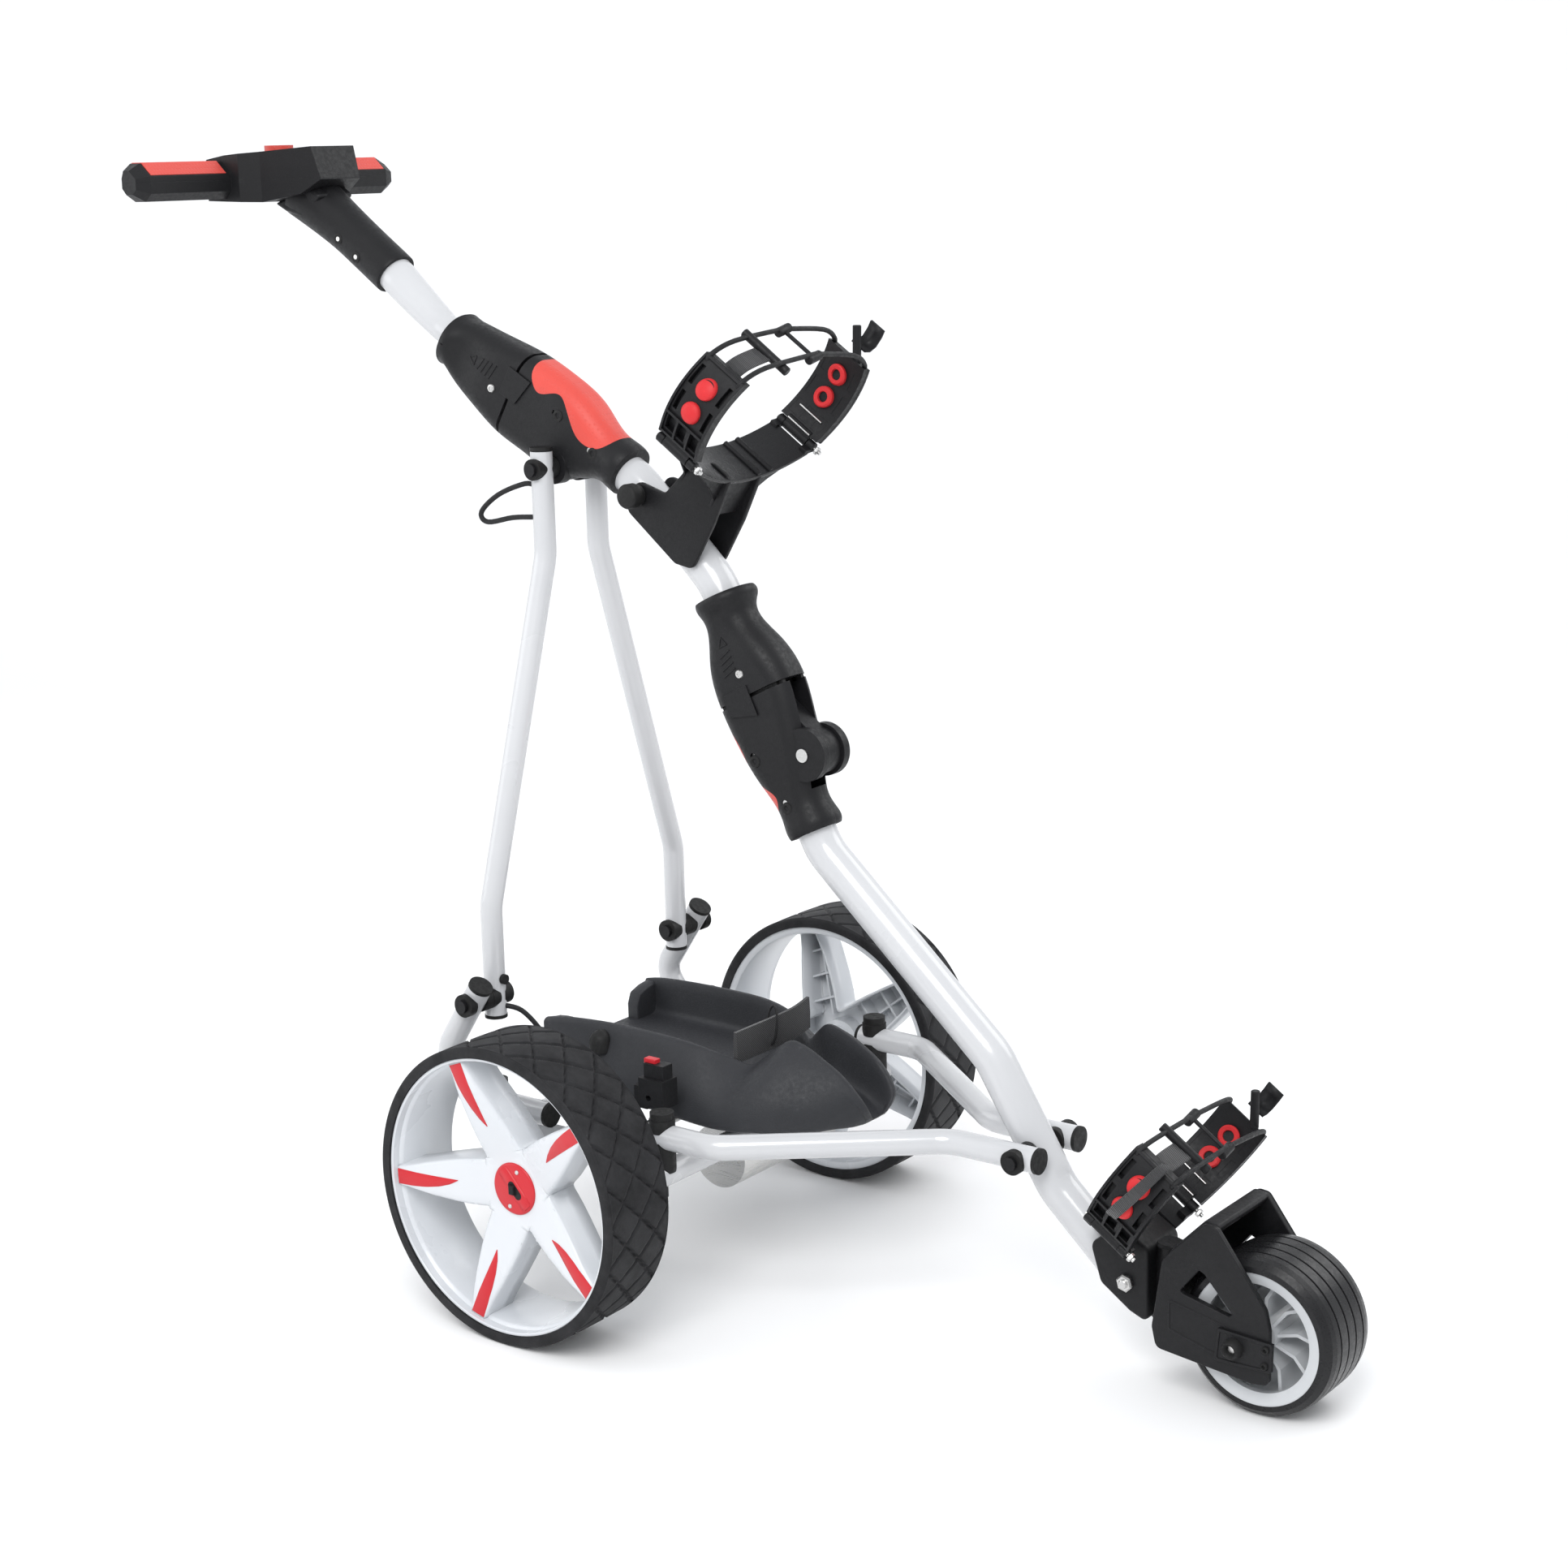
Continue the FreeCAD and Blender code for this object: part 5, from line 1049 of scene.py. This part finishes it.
def holed_plate(name, outlines, y_low, y_high, edge, material, body):
    """Flat plate along Y with soft edges; outlines after the first are holes."""
    curve = bpy.data.curves.new(name, "CURVE")
    curve.dimensions = "2D"
    curve.fill_mode = "BOTH"
    curve.extrude = (abs(y_high - y_low) / 2 - edge) * MM
    curve.bevel_depth = edge * MM
    curve.bevel_resolution = 3
    for outline in outlines:
        line = curve.splines.new("POLY")
        line.points.add(len(outline) - 1)
        for point, (x, z) in zip(line.points, outline):
            point.co = ((AXLE_X + x) * MM, z * MM, 0, 1)
        line.use_cyclic_u = True
    holder = bpy.data.objects.new(name + "_curve", curve)
    bpy.context.scene.collection.objects.link(holder)
    bpy.context.view_layer.update()
    mesh = bpy.data.meshes.new_from_object(holder.evaluated_get(bpy.context.evaluated_depsgraph_get()))
    bpy.data.objects.remove(holder)
    mesh.transform(Matrix(((1, 0, 0, 0), (0, 0, 1, (y_low + y_high) / 2 * MM), (0, 1, 0, 0), (0, 0, 0, 1))))
    mesh.materials.clear()
    return place_mesh(name, mesh, material, body, 30)


FORK_SIDE = ((560, 48), (556, 66), (566, 130), (574, 140), (606, 172), (616, 171),
             (664, 106), (668, 88), (668, 40), (654, 38))
FORK_WINDOW = ((579, 104), (601, 131), (607, 128), (636, 96), (631, 92))
BRACKET_BOLT = (516, 90)


def fork_plates(word, near, far, edge):
    """Pair of side plates of the fork, each with its window."""
    for side, hand in HANDS:
        low, high = sorted((side * near, side * far))
        outlines = [rounded_outline(FORK_SIDE, 9), rounded_outline(FORK_WINDOW, 4)]
        holed_plate("fork_%s_%s" % (word, hand), outlines, low, high, edge, BLACK, "lower")


def fork_shell():
    """Outer faces of the fork, its panel line, axle bolts and adjuster details."""
    fork_plates("cheek", 48.5, 51.5, 1.4)
    for side, word in HANDS:
        panel = rounded_outline(((572, 96), (629, 84), (619, 55), (572, 68)), 3)
        inner = [(600 + (x - 600) * 0.965, 76 + (z - 76) * 0.93) for x, z in panel]
        low, high = sorted((side * 50.9, side * 52.0))
        holed_plate("fork_panel_" + word, [panel, inner], low, high, 0.4, BLACK, "lower")
        low, high = sorted((side * 53.6, side * 54.8))
        rim = rounded_outline(((622, 82), (674, 79), (673, 53), (619, 52)), 2)
        inside = [(647 + (x - 647) * 0.93, 66.5 + (z - 66.5) * 0.87) for x, z in rim]
        holed_plate("adjuster_edge_" + word, [rim, inside], low, high, 0.4, BLACK, "lower")
        for index, (x, z, size) in enumerate(((637, 67, 1.5), (668, 73, 0.55), (667, 58, 0.55))):
            def at(a, b, height, x=x, z=z, size=size, side=side):
                return (AXLE_X + x + a * size, side * (53.8 + 2.6 * size * (height + 1)), z + b * size)

            turned_on("adjuster_bolt_%s_%d" % (word, index + 1), SCREW_CUP, at, RUBBER, "lower", 28)
        ahead, up = BRACKET_BOLT
        for part, near, far, size, steps in (("nut", 29, 34, 8.4, 6), ("stud", 32, 36.5, 4.2, 20)):
            bar_on("bracket_%s_%s" % (part, word), (AXLE_X + ahead, side * near, up),
                   (AXLE_X + ahead, side * far, up), size, STEEL, "lower", steps)


def fork_body():
    """Crown, rear web, neck and stem of the front fork, with softened edges."""
    parts = (("crown", ((566, 128), (574, 141), (605, 173), (617, 171), (612, 163), (604, 163), (579, 137),
                        (572, 126)), 46, 1.6),
             ("web", ((555.5, 62), (565.5, 131), (572, 129), (562, 60)), 46, 1.6),
             ("neck", ((541, 62), (560, 60), (568, 122), (546, 124)), 12, 2.0))
    for word, outline, half, edge in parts:
        piece = holed_plate("fork_" + word, [rounded_outline(outline, 3)], -half, half, edge, BLACK, "lower")
        if word == "crown":
            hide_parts("fork")
    fork_plates("inner", 44, 49.5, 1.0)
    bar_on("fork_stem", (AXLE_X + 541, 0, 52), (AXLE_X + 545, 0, 126), 14.0, BLACK, "lower", 40)
    bracket = rounded_outline(((481, 118), (491, 85), (520, 65), (535, 59), (535, 124), (512, 137)), 7)
    block = holed_plate("bracket_block", [bracket], -28, 28, 3.0, BLACK, "lower")
    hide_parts("front_bracket")


def clamp_knob():
    """Stepped round knob of the upper cradle's clamp."""
    low, high = box_in_mm("cradle_knob")
    x, z = (low.x + high.x) / 2, (low.z + high.z) / 2
    radius = (high.x - low.x) / 2
    profile = [(0, 46), (radius - 3, 46), (radius - 1, 45), (radius, 43), (radius, 34), (radius - 1.6, 33),
               (radius - 1.6, 28), (radius - 4, 26), (4, 25.6), (4, 19.3), (0, 19.3)]
    knob = lathe("knob_head", profile, (x, 0, z), RUBBER, "knob", RIGHT, 64)
    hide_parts("cradle_knob")


def lower_strap():
    """Webbing tail that hangs over the lower cradle's near buttons."""
    cradle = LOWER_CRADLE
    points = [cradle.arm(RIGHT, u, out, height) for u, out, height in
              ((-20, 3, 97), (-20, 10, 93), (-21, 12.5, 78), (-23, 12.5, 60), (-26, 12, 42), (-28, 10, 30))]
    sweep("lower_strap_tail", curve_through(points, 4), [(b, a) for a, b in tape_section(10, 1.4)], WEBBING,
          cradle.body(RIGHT), 2, (1, 0, 0))


def joint_filler():
    """Dark inner edges between the lower collar and its housing."""
    def at(a, b, out):
        return LOWER_JOINT.at(a, out, b)

    walls = []
    for side in (RIGHT, LEFT):
        walls.append((-34, 36, *sorted((side * 12, side * 20))))
        walls.append((30, 42, *sorted((side * 12, side * 16.5))))
    walls.append((-41, -30, -14, 14))
    for index, (low_out, high_out, low, high) in enumerate(walls):
        outline = [(98.5, low_out), (106, low_out), (106, high_out), (98.5, high_out)]
        block_on("joint_filler_%d" % (index + 1), outline, low, high, at, RUBBER, "lower", 0.5)


def trough_ridges():
    """Two raised ridges across each bag cradle's trough."""
    for cradle in (UPPER_CRADLE, LOWER_CRADLE):
        for index, across in enumerate((22, 38)):
            share = across / (cradle.half - 11)
            out = -26 + 22 * share * share
            if cradle is LOWER_CRADLE:
                share = (across - 26) / (cradle.half - 11)
                across, out = across - 26, -26 + 22 * share * share
            bar_on("%s_ridge_%d" % (cradle.word, index + 1), cradle.axes.at(-50, across, out),
                   cradle.axes.at(-0.5, across, out), 3.0, BLACK, cradle.base)


# ---- battery tray -------------------------------------------------------------------
# Rows of (ahead, bottom half width, bottom height, rim half width, rim height,
# floor half width, floor height, how far the rim leans forward).
TRAY_ROWS = ((-124, 92, 178, 79, 240, 75, 206, 0), (-100, 96, 177, 78, 244, 73, 206, 0),
             (-40, 100, 176, 76, 247, 71, 206, 0), (30, 102, 175, 75, 246, 69, 206, 0),
             (70, 104, 173, 69, 240, 62, 207, 0), (95, 104, 172, 56, 230, 49, 208, 0),
             (112, 103, 172, 47, 225, 40, 208, 0), (128, 99, 172, 38, 238, 31, 207, 1),
             (144, 92, 172, 32, 250, 25, 205, 2), (160, 84, 172, 31, 247, 24, 202, 4),
             (176, 72, 173, 31, 238, 24, 196, 8), (192, 60, 173, 30, 226, 23, 190, 13),
             (204, 46, 174, 28, 211, 21, 184, 17), (214, 32, 174, 23, 196, 16, 180, 16),
             (220, 18, 175, 12, 182, 8, 178, 8))


def tray_outline(ahead, bottom, bottom_z, rim, rim_z, floor, floor_z, lean):
    """Closed section of the tray: bulging flank, rounded rim and inner wall."""
    tall = rim_z - bottom_z
    right = [(0.0, bottom_z), (0.7 * bottom, bottom_z), (bottom - 5, bottom_z + 1),
             (bottom, bottom_z + 0.14 * tall), (bottom - 0.15 * (bottom - rim), bottom_z + 0.45 * tall),
             (rim + 0.42 * (bottom - rim), bottom_z + 0.80 * tall), (rim + 5, rim_z - 3), (rim, rim_z),
             (rim - 4, rim_z - 3), (floor + 1, floor_z + 0.3 * (rim_z - floor_z)), (floor - 3, floor_z + 1),
             (0.6 * floor, floor_z), (0.0, floor_z)]
    smooth = curve_through(right, 3)
    whole = smooth + [(-y, z) for y, z in reversed(smooth[1:-1])]
    return [(AXLE_X + ahead + lean * min(1.0, max(0.0, (z - bottom_z) / max(tall, 1))), -y, z)
            for y, z in whole]


def smooth_tray():
    """Battery tray with its rear ears and domed stops."""
    rows = [tray_outline(*row) for row in curve_through(TRAY_ROWS, 4)]
    tray = add_skin("tray_shell", rows, TRAY_GREY, "chassis", 45)
    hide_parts("battery_tray")
    for side, word in HANDS:
        rings = []
        for y, top in ((45, 222), (50, 234), (62, 238), (77, 240)):
            ear = ((-124, 203), (-110, 203), (-110, top - 2), (-113, top), (-121, top), (-124, top - 2))
            rings.append([(AXLE_X + x, side * y, z) for x, z in ear])
        bevel(add_skin("tray_ear_" + word, rings, TRAY_GREY, "chassis", 40), 1.5, 3)

        def at(a, b, height, side=side):
            return (AXLE_X - 46 + a, side * 87 + b, 229 + height)

        turned_on("tray_stop_" + word, [(0, 12.5), (5, 11.5), (9, 8.6), (11.4, 4), (12, -8), (0, -8)], at,
                  RUBBER, "chassis", 40)


# ---- upper cradle body and handle stem ----------------------------------------------
def upper_cradle_body():
    """Trough with its hinge barrels, the webs below it and the clamp's rounded cheeks."""
    cradle = UPPER_CRADLE
    reach = cradle.half - 11

    def trough_top(across):
        return -26 + 22 * (across / reach) ** 2

    rings = []
    for step in range(33):
        across = reach * (step / 16 - 1)
        out = trough_top(across)
        rings.append([cradle.axes.at(u, across, out - drop) for u, drop in
                      ((-50, 0), (0, 0), (0.6, 2), (0, 4), (-50, 4), (-50.6, 2))])
    sheet = add_skin("upper_trough", rings, SATIN, cradle.base, 50)
    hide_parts("upper_cradle_base")
    for side, word in HANDS:
        for index, (low, high) in enumerate(((-50, -41.2), (-8.8, 0))):
            bar_on("upper_barrel_%s_%d" % (word, index + 1), cradle.arm(side, low, 0, -1),
                   cradle.arm(side, high, 0, -1), 5.2, BLACK, cradle.base)
            foot = [(cradle.half - inset, out) for inset, out in ((16, -8), (4, -5.5), (3, -1), (16, -3))]

            def at(a, b, out, side=side):
                return cradle.axes.at(out, side * a, b)

            block_on("upper_lug_%s_%d" % (word, index + 1), foot, low, high, at, BLACK, cradle.base, 0.6)
    arc = [(y, trough_top(y) - 3.5) for y in range(-80, 81, 10)]
    web = arc + [(44, -34), (27, -50), (25, -70), (-25, -70), (-27, -50), (-44, -34)]

    def on_web(a, b, out):
        return cradle.axes.at(out, a, b)

    for index, (low, high) in enumerate(((-47, -44), (-6, -3))):
        block_on("upper_web_%d" % (index + 1), web, low, high, on_web, BLACK, cradle.base, 0.6)
    cheek = rounded_outline(((-40, 752), (-26, 778), (8, 767), (34, 790), (66, 800), (86, 786), (64, 742),
                             (38, 700), (18, 704)), 9)
    for side, word in HANDS:
        low, high = sorted((side * 20.5, side * 26))
        holed_plate("clamp_cheek_" + word, [cheek], low, high, 1.6, BLACK, cradle.base)


# Rows of (ahead, height, radius) down the stem.
STEM_STATIONS = ((-480, 1052, 29), (-448, 1031, 25.5), (-420, 1012.5, 23.6), (-390, 991.5, 23.2),
                 (-362, 971.8, 23.2), (-359.6, 970, 22.0))


def stem_skin():
    """Flared stem around the handle tube."""
    rings = []
    down = Vector((0.78, 0, -0.63)).normalized()
    lift = Vector((-down.z, 0, down.x))
    for x, z, radius in curve_through(STEM_STATIONS, 4):
        place = Vector((AXLE_X + x, 0, z))
        rings.append([tuple(place + lift * radius * b + Vector((0, radius * a, 0)))
                      for a, b in round_section(1.0, 40)])
    stem = add_skin("stem_skin", rings, BLACK, "handle", 50)
    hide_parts("handle_stem")


joint_trim()
control_cable()
stem_skin()
console_details()
connector_plug()
fork_shell()
fork_body()
clamp_knob()
lower_strap()
joint_filler()
trough_ridges()
smooth_tray()
upper_cradle_body()


# ---- stage --------------------------------------------------------------------------
def add_floor():
    """Pale floor that curves up into a backdrop."""
    sheet = bmesh.new()
    rows = [(-6.0, 0.0), (3.2, 0.0)]
    for step in range(1, 9):
        angle = math.radians(90 * step / 8)
        rows.append((3.2 + math.sin(angle), 1.0 - math.cos(angle)))
    rows.append((4.2, 6.0))
    turn = Matrix.Rotation(math.radians(37), 3, "Z")
    grid = [[sheet.verts.new(turn @ Vector((x, y, z))) for x in (-7.0, 7.0)] for y, z in rows]
    for low, high in zip(grid, grid[1:]):
        sheet.faces.new((low[0], low[1], high[1], high[0]))
    mesh = bpy.data.meshes.new("studio_floor")
    sheet.to_mesh(mesh)
    floor = bpy.data.objects.new("studio_floor", mesh)
    for face in mesh.polygons:
        face.use_smooth = True
    n = Nodes("studio_white")
    colour = n.mix_colours(n.noise(1.5), (0.93, 0.93, 0.93), (0.95, 0.95, 0.95))
    mesh.materials.append(n.set(Base_Color=colour, Roughness=0.5))
    bpy.context.scene.collection.objects.link(floor)


def add_light(name, place, target, size, watts):
    lamp = bpy.data.lights.new(name, "AREA")
    lamp.shape = "DISK"
    lamp.size = size
    lamp.energy = watts
    holder = bpy.data.objects.new(name, lamp)
    holder.location = place
    aim = Vector(target) - Vector(place)
    holder.rotation_euler = aim.to_track_quat("-Z", "Y").to_euler()
    bpy.context.scene.collection.objects.link(holder)


def add_lights():
    middle = AXLE_X * MM
    centre = (middle + 0.05, 0, 0.5)
    add_light("key_light", (middle + 1.2, -2.4, 2.8), centre, 2.0, 75)
    add_light("fill_light", (middle - 2.6, -1.6, 1.8), centre, 2.8, 25)
    add_light("rim_light", (middle + 1.6, 2.4, 2.4), centre, 2.4, 35)
    world = bpy.data.worlds.new("studio_world")
    world.use_nodes = True
    background = world.node_tree.nodes["Background"]
    background.inputs["Color"].default_value = (0.95, 0.97, 1.0, 1)
    background.inputs["Strength"].default_value = 0.9
    bpy.context.scene.world = world


CAMERA_AZIMUTH = 37.35
CAMERA_ELEVATION = 13.02
CAMERA_ROLL = -1.38
CAMERA_PLACE = (AXLE_X * MM + 1.67003, -2.02742, 1.08426)
CAMERA_LENS = 62.97


def add_camera():
    """Camera at the photograph's viewing angle."""
    azimuth = math.radians(CAMERA_AZIMUTH)
    elevation = math.radians(CAMERA_ELEVATION)
    roll = math.radians(CAMERA_ROLL)
    back = Vector((math.sin(azimuth) * math.cos(elevation), -math.cos(azimuth) * math.cos(elevation),
                   math.sin(elevation)))
    right = Vector((math.cos(azimuth), math.sin(azimuth), 0))
    up = back.cross(right)
    side = right * math.cos(roll) + up * math.sin(roll)
    top = up * math.cos(roll) - right * math.sin(roll)
    turn = Matrix((side, top, back)).transposed().to_4x4()
    lens = bpy.data.cameras.new("photo_camera")
    lens.lens = CAMERA_LENS
    lens.sensor_width = 36
    camera = bpy.data.objects.new("photo_camera", lens)
    camera.matrix_world = Matrix.Translation(Vector(CAMERA_PLACE)) @ turn
    bpy.context.scene.collection.objects.link(camera)
    bpy.context.scene.camera = camera


add_floor()
add_lights()
add_camera()
bpy.context.scene.view_settings.view_transform = "Standard"
